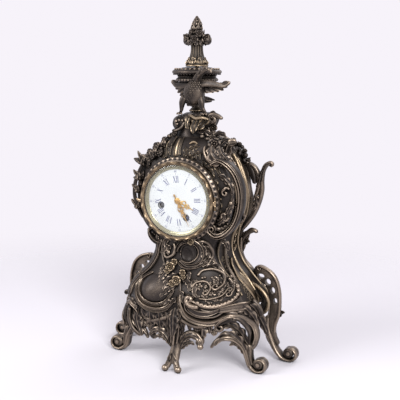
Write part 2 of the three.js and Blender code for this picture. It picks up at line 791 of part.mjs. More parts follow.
const knuckle = (z0, z1) => at(barZ(knuckleRadius, z0, z1, 10), hingeX, hingeY, dialZ);
const pinHole = at(barZ(hingePinRadius + gap, -20, 20, 8), hingeX, hingeY, dialZ);
const ringLug = (z0, z1) => block(ringFlange - 3, hingeX, flangeFront, flangeBack, dialZ + z0, dialZ + z1);
const ringWithHinge = join(
  alongDial(frontRing),
  knuckle(4.4, 9),
  knuckle(-9, -4.4),
  ringLug(4.4, 9),
  ringLug(-9, -4.4),
);
part("front_ring", cut(ringWithHinge, pinHole), brass);

const doorProfile = [
  [doorBore, doorBack],
  [doorRadius - 0.4, doorBack],
  [doorRadius, doorBack - 2.2],
  [doorRadius - 0.8, doorBack - 4.2],
  [doorRadius - 2.8, doorFront],
  [doorBore + 0.2, doorFront + 1],
  [doorBore + 0.2, glassBack - glassThick - gap],
  [glassRadius + gap, glassBack - glassThick - gap],
  [glassRadius + gap, glassBack + gap],
  [doorBore, glassBack + gap],
];
const doorLug = block(doorRadius - 2.5, hingeX, hingeY - knuckleRadius, doorBack, dialZ - 4, dialZ + 4);
const doorTab = block(-doorRadius - 2, -doorRadius + 2, doorFront + 1.5, doorBack - 1, dialZ - 3, dialZ + 3);
const door = join(alongDial(turnedY(doorProfile, ringFacets)), knuckle(-4, 4), doorLug, doorTab);
part("door_ring", cut(door, pinHole), brass);
part("door_glass", alongDial(barY(glassRadius, glassBack - glassThick, glassBack, ringFacets)), glass);
const pin = join(
  barZ(hingePinRadius, -9.6, 9.6, 8),
  barZ(hingePinRadius * 2, 9.3, 10.3, 8),
  barZ(hingePinRadius * 2, -10.3, -9.3, 8),
);
part("hinge_pin", at(pin, hingeX, hingeY, dialZ), steel);

const slopeProfile = [
  [dialRadius - 1, dialFace - gap],
  [ringBore - gap, dialFace - gap],
  [ringBore - gap, flangeFront - gap],
  [doorBore - gap, flangeFront - gap],
  [doorBore - gap, flangeFront - 2],
  [doorBore - 3 * gap, flangeFront - 2],
  [dialRadius - 1, dialFace - 0.9],
];
part("slope_ring", alongDial(turnedY(slopeProfile, ringFacets)), brass);

// Where the arbors stand, seen from the front and measured from the centre arbor.
const polar = (r, degrees) => [r * Math.cos(rad(degrees)), r * Math.sin(rad(degrees))];
const goingAngle = 270 + movementTurn + windingSpread;
const strikeAngle = 270 + movementTurn - windingSpread;
const goingAt = polar(windingRadius, goingAngle);
const strikeAt = polar(windingRadius, strikeAngle);
const keyHoles = (y0, y1) => [goingAt, strikeAt].map(([x, z]) => at(barY(3.6, y0, y1, 10), x, 0, dialZ + z));

const dialBack = dialFace + dialThick;
const dialDisc = alongDial(barY(dialRadius, dialFace, dialBack, ringFacets));
const centreHole = alongDial(barY(3.4, dialFace - 5, dialFace + 12, 12));
part("dial", cut(dialDisc, centreHole, ...keyHoles(dialFace - 5, dialFace + 5)), enamel);
const dialPlateBack = dialBack + gap + 1.5;
const frontPlateY = dialFace + 13; // front of the movement's front plate
const dialPosts = [45, 165, 255].map((turn) => {
  const [x, z] = polar(plateRadius - 6, turn);
  return at(barY(2, dialPlateBack - 0.5, frontPlateY - gap, 8), x, 0, dialZ + z);
});
const dialPlate = join(alongDial(barY(ringBore - gap, dialBack + gap, dialPlateBack, ringFacets)), ...dialPosts);
part("dial_plate", cut(dialPlate, centreHole, ...keyHoles(dialFace - 5, dialFace + 8)), brass);

// ---------------------------------------------------------------- movement plates
const backPlateY = frontPlateY + plateThick + plateSpace; // front of the back plate
const backPlateBack = backPlateY + plateThick;
const arborRadius = 0.9;
const escapeRadius = plateRadius * 0.175;
const centreTeeth = 60;
const escapeLeaves = 6;
const centreModule = plateRadius * 0.0095;
const escapeAt = [0, (centreModule * (centreTeeth + escapeLeaves)) / 2];
const palletAt = [0, escapeAt[1] + escapeRadius + 4.5];
const barrelTeeth = 48;
const middleLeaves = 8;
const barrelModule = plateRadius * 0.0175;
const barrelToMiddle = (barrelModule * (barrelTeeth + middleLeaves)) / 2;
const middleTeeth = 48;
const centreLeaves = 8;
const middleModule = plateRadius * 0.012;
const middleToCentre = (middleModule * (middleTeeth + centreLeaves)) / 2;
const middleTurn = THREE.MathUtils.radToDeg(
  Math.acos(
    (windingRadius ** 2 + middleToCentre ** 2 - barrelToMiddle ** 2) / (2 * windingRadius * middleToCentre),
  ),
);
const middleAt = polar(middleToCentre, goingAngle + middleTurn);
const pinWheelOffset = polar(barrelToMiddle, 100);
const pinWheelAt = [strikeAt[0] + pinWheelOffset[0], strikeAt[1] + pinWheelOffset[1]];
const hammerAt = [-0.325 * plateRadius, 0.8 * plateRadius];
const minuteWheelAngle = 118;
const motionDistance = plateRadius * 0.3;
const minuteWheelAt = polar(motionDistance, minuteWheelAngle);

const put = (shape, [x, z]) => at(shape, x, 0, dialZ + z);
const bearing = ([x, z], radius, y0, y1) => put(barY(radius + 1.5 * gap, y0, y1, 6), [x, z]);
const pillarAngles = [10, 75, 128, 248];
const pillars = pillarAngles.map((turn) =>
  put(barY(2.2, frontPlateY + 1, backPlateY - gap, 8), polar(plateRadius - 4, turn)),
);
const plateBearings = (y0, y1) => [
  bearing([0, 0], 2, y0, y1),
  ...[goingAt, strikeAt].map((p) => bearing(p, 2.2, y0, y1)),
  ...[middleAt, escapeAt, palletAt, pinWheelAt, hammerAt].map((p) => bearing(p, arborRadius, y0, y1)),
];
const frontPlate = join(alongDial(barY(plateRadius, frontPlateY, frontPlateY + plateThick, 28)), ...pillars);
const minuteStud = put(barY(1, frontPlateY - 6, frontPlateY + 0.5, 8), minuteWheelAt);
part(
  "front_plate",
  join(cut(frontPlate, ...plateBearings(frontPlateY - 5, frontPlateY + plateThick + 1)), minuteStud),
  brass,
);
const backPlate = alongDial(barY(plateRadius, backPlateY, backPlateBack, 28));
part("back_plate", cut(backPlate, ...plateBearings(backPlateY - 2, backPlateBack + 2)), brass);

// ---------------------------------------------------------------- wheels
// A thin wheel about its own axis with pointed teeth; first is the angle of one tip in radians.
function wheel(teeth, module, y0, y1, first, boreHole = 0) {
  const pitch = (teeth * module) / 2;
  const shape = new THREE.Shape();
  for (let i = 0; i < teeth * 2; i++) {
    const radius = i % 2 ? pitch - 1.2 * module : pitch + 0.6 * module;
    const turn = first + (Math.PI * i) / teeth;
    if (i) shape.lineTo(radius * Math.cos(turn), radius * Math.sin(turn));
    else shape.moveTo(radius * Math.cos(turn), radius * Math.sin(turn));
  }
  if (boreHole) shape.holes.push(new THREE.Path().absarc(0, 0, boreHole, 0, 2 * Math.PI, true));
  return plateY(shape, y0, y1, 4);
}

// The angle of a tip of the driven wheel, so that its gap meets a tooth of the driving one.
function meshed(firstDriving, teethDriving, direction, teethDriven) {
  const pitches = ((firstDriving - direction) * teethDriving) / (2 * Math.PI);
  const offset = pitches - Math.floor(pitches);
  return direction + Math.PI + (2 * Math.PI * (0.5 - offset)) / teethDriven;
}
const heading = (from, to) => Math.atan2(to[1] - from[1], to[0] - from[0]);
const centreSpot = [0, 0];

const innerFront = frontPlateY + plateThick;
const arbor = (y0, y1) => barY(arborRadius, y0, y1, 8);
const greatY = backPlateY - 8; // front of both great wheels
const greatThick = 2;
const drumRadius = plateRadius * 0.3875;
const windingBore = 2.2;
function barrel(first) {
  const drum = barY(drumRadius, innerFront + 3, greatY + 0.5, 20);
  const teeth = wheel(barrelTeeth, barrelModule, greatY, greatY + greatThick, first);
  return cut(join(drum, teeth), barY(windingBore + gap, innerFront, greatY + 4, 12));
}
function windingArbor() {
  const square = new THREE.BoxGeometry(3, 9, 3).translate(0, dialFace + 7.5, 0);
  return join(solid(square), barY(windingBore, frontPlateY - 2, backPlateBack + 0.5, 12));
}
const centreFirst = 0;
const middleY = backPlateY - 4;
const middleFirst = meshed(centreFirst, centreLeaves, heading(centreSpot, middleAt), middleTeeth);
const middlePinionFirst = middleFirst;
const goingFirst = meshed(middlePinionFirst, middleLeaves, heading(middleAt, goingAt), barrelTeeth);
part("going_barrel", put(barrel(goingFirst), goingAt), brass);
part("winding_arbor_going", put(windingArbor(), goingAt), steel);
const middleWheel = join(
  wheel(middleTeeth, middleModule, middleY, middleY + 1, middleFirst),
  wheel(middleLeaves, barrelModule, greatY - 1, middleY + 0.5, middlePinionFirst),
  arbor(frontPlateY + 0.3, backPlateBack),
);
part("middle_wheel", put(middleWheel, middleAt), brass);

const centreWheelY = innerFront + 1;
const centreArbor = join(
  wheel(centreTeeth, centreModule, centreWheelY, centreWheelY + 1, centreFirst),
  wheel(centreLeaves, middleModule, middleY - 1, middleY + 2, centreFirst),
  arbor(dialFace - 2.4, backPlateBack),
  barY(2, centreWheelY + 0.5, centreWheelY + 3, 10),
);
part("centre_arbor", put(centreArbor, centreSpot), steel);

const escapeFirst = meshed(centreFirst, centreTeeth, heading(centreSpot, escapeAt), escapeLeaves);
const escapeY = backPlateY - 12;
const escapeTeeth = 30;
function escapeDisc() {
  const shape = new THREE.Shape();
  for (let i = 0; i < escapeTeeth; i++) {
    const turn = (2 * Math.PI * i) / escapeTeeth;
    const tip = new THREE.Vector2(escapeRadius, 0).rotateAround(new THREE.Vector2(), turn);
    const root = new THREE.Vector2(escapeRadius - 1.3, 0).rotateAround(new THREE.Vector2(), turn + 0.06);
    if (i) shape.lineTo(tip.x, tip.y);
    else shape.moveTo(tip.x, tip.y);
    shape.lineTo(root.x, root.y);
  }
  return plateY(shape, escapeY, escapeY + 1);
}
const escapeWheel = join(
  escapeDisc(),
  wheel(escapeLeaves, centreModule, centreWheelY - 0.5, centreWheelY + 2, escapeFirst),
  arbor(centreWheelY + 1.8, backPlateBack),
  barY(0.5, frontPlateY + 0.3, centreWheelY, 8),
);
part("escape_wheel", put(escapeWheel, escapeAt), brass);

// Pallets: an arch over the escape wheel whose two tips stand just clear of the teeth.
const palletReach = escapeRadius - 0.4;
const palletArch = outline([
  [-palletReach - 1.4, -5.6],
  [-palletReach + 0.2, -6.4],
  [-palletReach + 1.4, -3.6],
  [-2, -2],
  [2, -2],
  [palletReach - 1.4, -3.6],
  [palletReach - 0.2, -6.4],
  [palletReach + 1.4, -5.6],
  [palletReach + 0.6, -1.4],
  [1.6, 1.8],
  [-1.6, 1.8],
  [-palletReach - 0.6, -1.4],
]);
const crutchY = backPlateBack + 1;
const pallets = join(plateY(palletArch, escapeY - 0.5, escapeY + 1.5), arbor(frontPlateY + 0.3, crutchY + 3));
part("pallet_anchor", put(pallets, palletAt), steel);
const rodY = backPlateBack + 5.5;
const rodHalf = 1;
const crutchLength = 30;
const crutch = cut(
  join(
    block(-1, 1, crutchY, crutchY + 1, -crutchLength, 2),
    barY(2.4, crutchY, crutchY + 1.6, 12),
    block(-3, 3, crutchY, crutchY + 1, -crutchLength - 1, -crutchLength + 3),
    block(-3, -rodHalf - gap, crutchY, rodY + 2, -crutchLength - 1, -crutchLength + 3),
    block(rodHalf + gap, 3, crutchY, rodY + 2, -crutchLength - 1, -crutchLength + 3),
  ),
  barY(arborRadius + gap / 2, crutchY - 1, crutchY + 3, 8),
);
part("crutch", put(crutch, palletAt), steel);

// ---------------------------------------------------------------- motion work and hands
const motionY = frontPlateY - 1.6; // back of the minute wheel
const cannonTeeth = 10;
const minuteTeeth = 30;
const minuteLeaves = 8;
const hourTeeth = 32;
const cannonModule = (2 * motionDistance) / (cannonTeeth + minuteTeeth);
const hourModule = (2 * motionDistance) / (minuteLeaves + hourTeeth);
const minuteFirst = meshed(0, cannonTeeth, rad(minuteWheelAngle), minuteTeeth);
const hourFirst = meshed(minuteFirst, minuteLeaves, rad(minuteWheelAngle + 180), hourTeeth);
const cannonBore = arborRadius + gap;
const cannonRadius = 1.8;
const hourHandBack = dialFace - 0.6;
const minuteHandBack = hourHandBack - 1;
const cannon = join(
  wheel(cannonTeeth, cannonModule, motionY - 1.6, motionY, 0, cannonBore),
  turnedY(
    [
      [cannonBore, minuteHandBack - 0.6],
      [cannonRadius, minuteHandBack - 0.6],
      [cannonRadius, motionY - 1],
      [cannonBore, motionY - 1],
    ],
    12,
  ),
);
part("cannon_pinion", put(cannon, centreSpot), steel);
const hourWheelY = motionY - 3.6; // back of the hour wheel
const minuteWheel = join(
  wheel(minuteTeeth, cannonModule, motionY - 1.2, motionY - 0.4, minuteFirst, 1 + gap),
  wheel(minuteLeaves, hourModule, hourWheelY - 1.2, motionY - 1, minuteFirst, 1 + gap),
);
part("minute_wheel", put(minuteWheel, minuteWheelAt), brass);
const pipeBore = cannonRadius + gap;
const pipeRadius = 2.7;
const hourWheel = join(
  wheel(hourTeeth, hourModule, hourWheelY - 1, hourWheelY, hourFirst, pipeBore),
  turnedY(
    [
      [pipeBore, hourHandBack - 0.6],
      [pipeRadius, hourHandBack - 0.6],
      [pipeRadius, hourWheelY - 0.5],
      [pipeBore, hourWheelY - 0.5],
    ],
    12,
  ),
);
part("hour_wheel", put(hourWheel, centreSpot), brass);

// A pierced hand drawn pointing up, then turned clockwise to where it stands.
function hand(half, loops, hub, bore, thick, degrees) {
  const size = dialRadius / 43; // the outlines are drawn for a dial of 86 mm
  const left = half.slice().reverse().map(([x, z]) => [-x, z]);
  const both = [...half, ...left.filter(([x]) => x !== 0)];
  const shape = outline(both.map(([x, z]) => [x * size, z * size]));
  for (const loop of [...loops, ...loops.map(([x, ...rest]) => [-x, ...rest])]) {
    const [x, z, rx, rz] = loop.map((v) => v * size);
    shape.holes.push(new THREE.Path().absellipse(x, z, rx, rz, 0, 2 * Math.PI));
  }
  const whole = join(plateY(shape, -thick, 0, 4), barY(hub, -thick, 0, 16));
  const open = cut(whole, barY(bore + gap / 2, -5, 5, 12));
  return solid(geometryOf(open).rotateY(rad(degrees)));
}
const hourHand = hand(
  [
    [1.4, -2], [1.6, 3.6], [3.2, 6], [5.2, 8.6], [5.2, 11.4], [2.6, 13.4], [3.6, 16], [2.2, 18.4],
    [0.9, 19.6], [0.5, 22.5], [0, 26],
  ],
  [[2.3, 9.8, 1.5, 2.1]],
  4.2,
  pipeRadius,
  0.6,
  115,
);
part("hour_hand", at(hourHand, 0, hourHandBack, dialZ), gilt);
const minuteHand = hand(
  [
    [1.1, -9], [0.7, -3], [1.4, 5], [3, 8], [4.2, 11], [3.8, 14], [2, 16.4], [3.2, 19.6], [2.6, 22.4],
    [1, 24.6], [0.4, 30], [0, 37.5],
  ],
  [[1.9, 11.4, 1.1, 2], [1.5, 20, 0.8, 1.4]],
  3.2,
  cannonRadius,
  0.6,
  152,
);
part("minute_hand", at(minuteHand, 0, minuteHandBack, dialZ), gilt);
const nutBack = minuteHandBack - 0.6 - gap / 2;
const handNut = cut(
  alongDial(turnedY([[0, nutBack], [2.6, nutBack], [2.2, nutBack - 0.5], [0, nutBack - 0.8]], 12)),
  alongDial(barY(arborRadius + gap / 2, nutBack - 0.4, nutBack + 2, 8)),
);
part("hand_nut", handNut, gilt);

// ---------------------------------------------------------------- striking work
const strikeFirst = 0;
part("strike_barrel", put(barrel(strikeFirst), strikeAt), brass);
part("winding_arbor_strike", put(windingArbor(), strikeAt), steel);
const pinFirst = meshed(strikeFirst, barrelTeeth, heading(strikeAt, pinWheelAt), middleLeaves);
const liftingPins = 8;
const pinCircle = plateRadius * 0.15;
const pinWheelParts = [
  wheel(middleLeaves, barrelModule, greatY - 1, middleY + 0.5, pinFirst),
  barY(pinCircle + 1.4, middleY, middleY + 1, 16),
  arbor(frontPlateY + 0.3, backPlateBack + 4),
];
for (let i = 0; i < liftingPins; i++) {
  const [x, z] = polar(pinCircle, (360 * i) / liftingPins);
  pinWheelParts.push(at(barY(0.5, middleY + 0.5, middleY + 2.4, 5), x, 0, z));
}
part("pin_wheel", put(join(...pinWheelParts), pinWheelAt), brass);

// The count wheel's notches part the hours, which take one more blow each.
function countWheel() {
  const blows = 90;
  const shape = new THREE.Shape();
  let done = 0;
  const rim = plateRadius * 0.235;
  const notch = (turn) => {
    shape.absarc(0, 0, rim, turn.from, turn.to, false);
    shape.absarc(0, 0, rim - 1.6, turn.to, turn.to + rad(5), false);
  };
  for (let hour = 1; hour <= 12; hour++) {
    const from = (2 * Math.PI * done) / blows;
    done += hour + 1;
    notch({ from, to: (2 * Math.PI * done) / blows - rad(5) });
  }
  const disc = plateY(shape, backPlateBack + 1, backPlateBack + 2, 2);
  return cut(disc, barY(arborRadius + gap / 2, 0, 20, 8));
}
part("count_wheel", put(countWheel(), pinWheelAt), brass);

const bellRadius = plateRadius * 0.725;
const bellMouth = backPlateBack + 10;
const bellBack = bellMouth + 22;
const bellWall = 2;
const bell = turnedY(
  [
    [3.2, bellBack],
    [bellRadius - 11, bellBack - 2],
    [bellRadius - 3.5, bellBack - 9],
    [bellRadius, bellMouth],
    [bellRadius - bellWall, bellMouth],
    [bellRadius - 5.4, bellBack - 9.6],
    [bellRadius - 12, bellBack - 4],
    [3.2, bellBack - bellWall],
  ],
  20,
);
part("bell", alongDial(bell), brass);
const standAt = [0.45 * plateRadius, -0.775 * plateRadius];
const standBack = bellBack + 3;
const standArm = heading(centreSpot, standAt);
const standBar = block(-2.5, plateRadius * 0.9, standBack - 2, standBack, -2.5, 2.5);
const bellStand = join(
  put(solid(geometryOf(standBar).rotateY(-standArm)), centreSpot),
  put(barY(2.5, backPlateBack + gap, standBack, 10), standAt),
  put(barY(2.2, bellBack - 6, standBack, 10), centreSpot),
);
part("bell_stand", bellStand, steel);

const hammerY = bellMouth + 2;
const hammerHead = 4;
const hammerRest = bellRadius + 0.6;
const [hx, hz] = hammerAt;
const tailLength = plateRadius * 0.3;
const headAt = [-(hammerRest + hammerHead) * Math.cos(rad(128 - 90)), 0];
headAt[1] = Math.sqrt((hammerRest + hammerHead) ** 2 - headAt[0] ** 2);
function hammer() {
  const arm = scroll(
    [
      [hx, hammerY, hz, 1.2, 1.2],
      [(hx + headAt[0]) / 2 - 1, hammerY, (hz + headAt[1]) / 2 + 2, 1.2, 1.2],
      [headAt[0], hammerY, headAt[1], 1.2, 1.2],
    ],
    4,
  );
  const head = at(barY(hammerHead, hammerY - 4, hammerY + 4, 12), headAt[0], 0, headAt[1]);
  const spindle = at(arbor(frontPlateY + 0.3, hammerY + 1.2), hx, 0, hz);
  const boss = at(barY(2.2, hammerY - 1.2, hammerY + 1.2, 10), hx, 0, hz);
  const tail = block(hx - 4.4, hx, middleY + 1.3, middleY + 2.3, hz - tailLength, hz - tailLength + 1.4);
  const tailArm = block(hx - 0.7, hx + 0.7, middleY + 1.3, middleY + 2.3, hz - tailLength, hz);
  return alongDial(join(arm, head, spindle, boss, tail, tailArm));
}
part("hammer", hammer(), steel);

// ---------------------------------------------------------------- pendulum
const pivotZ = dialZ + palletAt[1];
const pendulumLength = 140; // from the pivot to the middle of the bob
const bobRadius = 17;
const bobHalf = 4;
const bobZ = pivotZ - pendulumLength;
const cockReach = rodY + 3;
const cockTop = 8;
const suspensionCock = join(
  block(-7, 7, backPlateBack + gap, backPlateBack + 3, pivotZ + 5, pivotZ + cockTop),
  block(-3, 3, backPlateBack + gap, cockReach, pivotZ + 5, pivotZ + cockTop),
  block(-3, -0.6, rodY - 2, cockReach, pivotZ + 1, pivotZ + 6),
  block(0.6, 3, rodY - 2, cockReach, pivotZ + 1, pivotZ + 6),
);
part("suspension_cock", suspensionCock, brass);
const ratingLength = 10;
const rodBottom = bobZ - bobRadius - ratingLength;
const pendulumRod = join(
  at(barZ(rodHalf, rodBottom, pivotZ - 4, 8), 0, rodY, 0),
  block(-0.3, 0.3, rodY - 1, rodY + 1, pivotZ - 5, pivotZ + 3),
);
part("pendulum_rod", pendulumRod, steel);
const bobSolid = turnedY(
  [[0, -bobHalf], [8, -3.6], [14, -2.4], [bobRadius, 0], [14, 2.4], [8, 3.6], [0, bobHalf]],
  20,
);
const bobBore = barZ(rodHalf + gap, -bobRadius - 5, bobRadius + 5, 8);
part("pendulum_bob", at(cut(bobSolid, bobBore), 0, rodY, bobZ), brass);
const ratingNut = cut(barZ(3.5, -2, 2, 12), barZ(rodHalf + gap, -5, 5, 8));
part("rating_nut", at(ratingNut, 0, rodY, bobZ - bobRadius - 2 - gap), brass);

// ---------------------------------------------------------------- straps, rear ring and rear door
const strapOut = ringBore - 3 * gap;
const strapBack = frameFront - 8;
const screwX = strapOut - 4;
const strap = cut(
  join(
    block(strapOut - 1.6, strapOut, dialPlateBack + gap, strapBack, dialZ - 4, dialZ + 4),
    block(screwX - 3.5, strapOut, strapBack - 2.5, strapBack, dialZ - 4, dialZ + 4),
  ),
  at(barY(1.5 + gap, strapBack - 5, strapBack + 5, 8), screwX, 0, dialZ),
);
part("strap_right", strap, brass);
part("strap_left", mirrored(strap), brass);
const rearFlangeFront = frameBack + gap;
const rearFlangeBack = rearFlangeFront + 1.5;
const rearRing = turnedY(
  [
    [rearOpening - 2, frameFront + 2],
    [rearOpening - gap, frameFront + 2],
    [rearOpening - gap, rearFlangeFront],
    [rearOpening + 3, rearFlangeFront],
    [rearOpening + 3, rearFlangeBack],
    [rearOpening - 2, rearFlangeBack],
  ],
  ringFacets,
);
const lugFront = frameFront + 2;
const screwLug = block(screwX - 3.5, rearOpening - 1, lugFront, lugFront + 1.5, dialZ - 4, dialZ + 4);
const rearHingeX = -(rearOpening + 5);
const rearHingeY = rearFlangeBack + 0.9;
const rearPinRadius = 0.7;
const rearKnuckle = (z0, z1) => at(barZ(1.7, z0, z1, 10), rearHingeX, rearHingeY, dialZ);
const rearLug = (z0, z1) =>
  block(rearHingeX, -rearOpening, rearFlangeFront, rearFlangeBack, dialZ + z0, dialZ + z1);
const ringHoles = [screwX, -screwX].map((x) => at(barY(1.5 + gap, lugFront - 5, lugFront + 5, 8), x, 0, dialZ));
const rearPinHole = at(barZ(rearPinRadius + gap, -20, 20, 8), rearHingeX, rearHingeY, dialZ);
const rearRingWhole = cut(
  join(
    alongDial(rearRing),
    screwLug,
    mirrored(screwLug),
    rearKnuckle(3.9, 8),
    rearKnuckle(-8, -3.9),
    rearLug(3.9, 8),
    rearLug(-8, -3.9),
  ),
  ...ringHoles,
  rearPinHole,
);
part("rear_ring", rearRingWhole, brass);
const screwHeadY = lugFront + 1.5 + gap;
const strapScrew = join(barY(1.5, strapBack - 4, screwHeadY + 1, 8), barY(2.8, screwHeadY, screwHeadY + 2, 12));
part("strap_screw_right", at(strapScrew, screwX, 0, dialZ), steel);
part("strap_screw_left", at(strapScrew, -screwX, 0, dialZ), steel);

const rearDoorFront = rearFlangeBack + gap;
const rearDoorBack = rearDoorFront + 1.2;
const rearDoorRadius = rearOpening + 2;
const knobBack = halfDepth;
const rearKnob = turnedY(
  [[0, rearDoorBack - 0.5], [1.6, rearDoorBack - 0.5], [1.6, knobBack - 3], [3.6, knobBack - 1.6], [2.4, knobBack], [0, knobBack]],
  12,
);
const knobX = rearDoorRadius - 9;
const rearDoor = join(
  alongDial(barY(rearDoorRadius, rearDoorFront, rearDoorBack, 32)),
  rearKnuckle(-3.5, 3.5),
  block(rearHingeX, -rearDoorRadius + 3, rearDoorFront, rearDoorBack, dialZ - 3.5, dialZ + 3.5),
  at(rearKnob, knobX, 0, dialZ),
);
part("rear_door", cut(rearDoor, rearPinHole), brass);
const rearPin = join(
  barZ(rearPinRadius, -8.6, 8.6, 8),
  barZ(rearPinRadius * 2, 8.3, 9.2, 8),
  barZ(rearPinRadius * 2, -9.2, -8.3, 8),
);
part("rear_hinge_pin", at(rearPin, rearHingeX, rearHingeY, dialZ), steel);

export default clock;
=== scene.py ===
import math

import bpy
import numpy as np
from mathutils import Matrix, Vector
from mathutils.geometry import tessellate_polygon


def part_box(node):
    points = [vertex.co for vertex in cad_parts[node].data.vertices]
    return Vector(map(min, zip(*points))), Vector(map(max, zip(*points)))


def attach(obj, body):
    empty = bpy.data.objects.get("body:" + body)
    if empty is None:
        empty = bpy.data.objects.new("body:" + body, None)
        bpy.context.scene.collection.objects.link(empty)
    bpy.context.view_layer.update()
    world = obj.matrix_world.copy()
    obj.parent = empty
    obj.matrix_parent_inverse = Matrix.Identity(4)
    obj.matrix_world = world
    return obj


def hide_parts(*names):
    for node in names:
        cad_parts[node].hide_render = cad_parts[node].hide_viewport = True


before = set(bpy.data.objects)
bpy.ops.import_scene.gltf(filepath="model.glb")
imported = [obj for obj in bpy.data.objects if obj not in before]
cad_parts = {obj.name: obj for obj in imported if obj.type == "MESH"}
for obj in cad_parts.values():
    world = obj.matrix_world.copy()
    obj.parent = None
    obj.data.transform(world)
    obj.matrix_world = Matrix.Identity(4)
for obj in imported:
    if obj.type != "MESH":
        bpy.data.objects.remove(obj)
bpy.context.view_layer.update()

# The room: a pale sweep of paper for the floor and the wall behind, two soft lamps at the front, one
# behind for the edges, and the camera a little to the right of the clock and above it.
scene = bpy.context.scene
scene.view_settings.view_transform = "Standard"
camera_data = bpy.data.cameras.new("camera")
camera_data.sensor_width = 36
camera_data.lens = 68.94
camera_data.shift_x = 0.00525
camera = bpy.data.objects.new("camera", camera_data)
turn, dip, away = math.radians(24.4), math.radians(10), 1.050
camera.location = (away * math.sin(turn), 0.028 - away * math.cos(turn), 0.4059)
camera.rotation_euler = (math.radians(90) - dip, 0, turn)
scene.collection.objects.link(camera)
scene.camera = camera
for name, spot, size, power in (
    ("window_left", (-1.1, -1.2, 1.1), 0.9, 25), ("window_right", (1.1, -1.2, 1.1), 0.8, 40),
    ("window_back", (0.5, 1.3, 1.3), 0.9, 10),
):
    lamp = bpy.data.lights.new(name, "AREA")
    lamp.size = size
    lamp.energy = power
    lamp_object = bpy.data.objects.new(name, lamp)
    lamp_object.location = spot
    lamp_object.rotation_euler = (Vector((0, 0, 0.23)) - Vector(spot)).to_track_quat("-Z", "Y").to_euler()
    scene.collection.objects.link(lamp_object)


class Field:
    """A number that changes over a surface: an output socket that can be added, multiplied and so on."""

    def __init__(self, finish, socket):
        self.finish, self.socket = finish, socket

    def _math(self, operation, *terms):
        return self.finish.node("ShaderNodeMath", {"operation": operation}, *terms)

    def __add__(self, other):
        return self._math("ADD", self, other)

    def __sub__(self, other):
        return self._math("SUBTRACT", self, other)

    def __rsub__(self, other):
        return self._math("SUBTRACT", other, self)

    def __mul__(self, other):
        return self._math("MULTIPLY", self, other)

    def __pow__(self, other):
        return self._math("POWER", self, other)

    __radd__, __rmul__ = __add__, __mul__

    def clamped(self):
        return self.finish.node("ShaderNodeClamp", {}, self)

    def from_to(self, low, high):
        """0 at low and 1 at high, smoothly between."""
        settings = {"interpolation_type": "SMOOTHSTEP"}
        return self.finish.node("ShaderNodeMapRange", settings, self, low, high)


class Finish:
    """A material whose nodes are made in the order they are written, ending in one Principled shader."""

    def __init__(self, name):
        self.material = bpy.data.materials.new(name)
        self.material.use_nodes = True
        self.tree = self.material.node_tree
        self.shader = self.tree.nodes["Principled BSDF"]
        self.place = self.node("ShaderNodeTexCoord", {}, out="Object")

    def node(self, kind, settings, *values, out=0, **named):
        """One node of any kind: settings first, then its inputs by order or by name."""
        made = self.tree.nodes.new(kind)
        for key, value in settings.items():
            setattr(made, key, value)
        for key, value in [*enumerate(values), *named.items()]:
            self.give(made.inputs[key.replace("_", " ") if isinstance(key, str) else key], value)
        return Field(self, made.outputs[out])

    def give(self, socket, value):
        if isinstance(value, Field):
            self.tree.links.new(value.socket, socket)
        elif isinstance(value, tuple) and len(value) == 3 and socket.type == "RGBA":
            socket.default_value = (*value, 1)
        else:
            socket.default_value = value

    def noise(self, scale, detail=3, stretch=None):
        place = self.place
        if stretch:
            place = self.node("ShaderNodeMapping", {}, place, Scale=stretch)
        return self.node("ShaderNodeTexNoise", {}, Vector=place, Scale=scale, Detail=detail)

    def mix(self, share, first, second):
        made = self.tree.nodes.new("ShaderNodeMix")
        made.data_type = "RGBA"
        for key, value in (("Factor", share), (6, first), (7, second)):
            self.give(made.inputs[key], value)
        return Field(self, made.outputs[2])

    def bump(self, height, distance, strength=1.0):
        values = {"Height": height, "Distance": distance, "Strength": strength}
        return self.node("ShaderNodeBump", {}, out="Normal", **values)

    def open_air(self, reach, low, high):
        """Ambient occlusion, 0 in a hollow narrower than reach and 1 in the open: the mask for painted
        shade.
        """
        air = self.node("ShaderNodeAmbientOcclusion", {"samples": 6}, Distance=reach, out="AO")
        return air.from_to(low, high)

    def set(self, **sockets):
        for key, value in sockets.items():
            self.give(self.shader.inputs[key.replace("_", " ")], value)
        return self.material


paper = Finish("paper_sweep")
paper_tone = paper.noise(0.5, 1).from_to(0.3, 0.7)
far = paper.node("ShaderNodeVectorMath", {"operation": "LENGTH"}, paper.place, out="Value")
paper.set(
    Base_Color=paper.mix(paper_tone, (0.6, 0.58, 0.615), (0.63, 0.61, 0.645)), Roughness=0.9,
    Alpha=1 - far.from_to(0.3, 0.95),
)
floor_mesh = bpy.data.meshes.new("floor")
floor_mesh.from_pydata([(-5, -5, 0), (5, -5, 0), (5, 5, 0), (-5, 5, 0)], [], [(0, 1, 2, 3)])
floor_mesh.materials.append(paper.material)
floor = bpy.data.objects.new("floor", floor_mesh)
scene.collection.objects.link(floor)

world = bpy.data.worlds.new("room")
world.use_nodes = True
room = world.node_tree
room_light = room.nodes["Background"]
room_light.inputs["Color"].default_value = (0.84, 0.82, 0.88, 1)
room_light.inputs["Strength"].default_value = 0.72
wall = room.nodes.new("ShaderNodeBackground")
wall.inputs["Color"].default_value = (0.93, 0.895, 0.955, 1)
wall.inputs["Strength"].default_value = 1.0
seen = None
light_path = room.nodes.new("ShaderNodeLightPath")
for ray in ("Is Camera Ray", "Is Glossy Ray", "Is Transmission Ray"):
    if seen is None:
        seen = light_path.outputs[ray]
        continue
    either = room.nodes.new("ShaderNodeMath")
    either.operation = "MAXIMUM"
    room.links.new(seen, either.inputs[0])
    room.links.new(light_path.outputs[ray], either.inputs[1])
    seen = either.outputs[0]
choice = room.nodes.new("ShaderNodeMixShader")
room.links.new(seen, choice.inputs[0])
room.links.new(room_light.outputs[0], choice.inputs[1])
room.links.new(wall.outputs[0], choice.inputs[2])
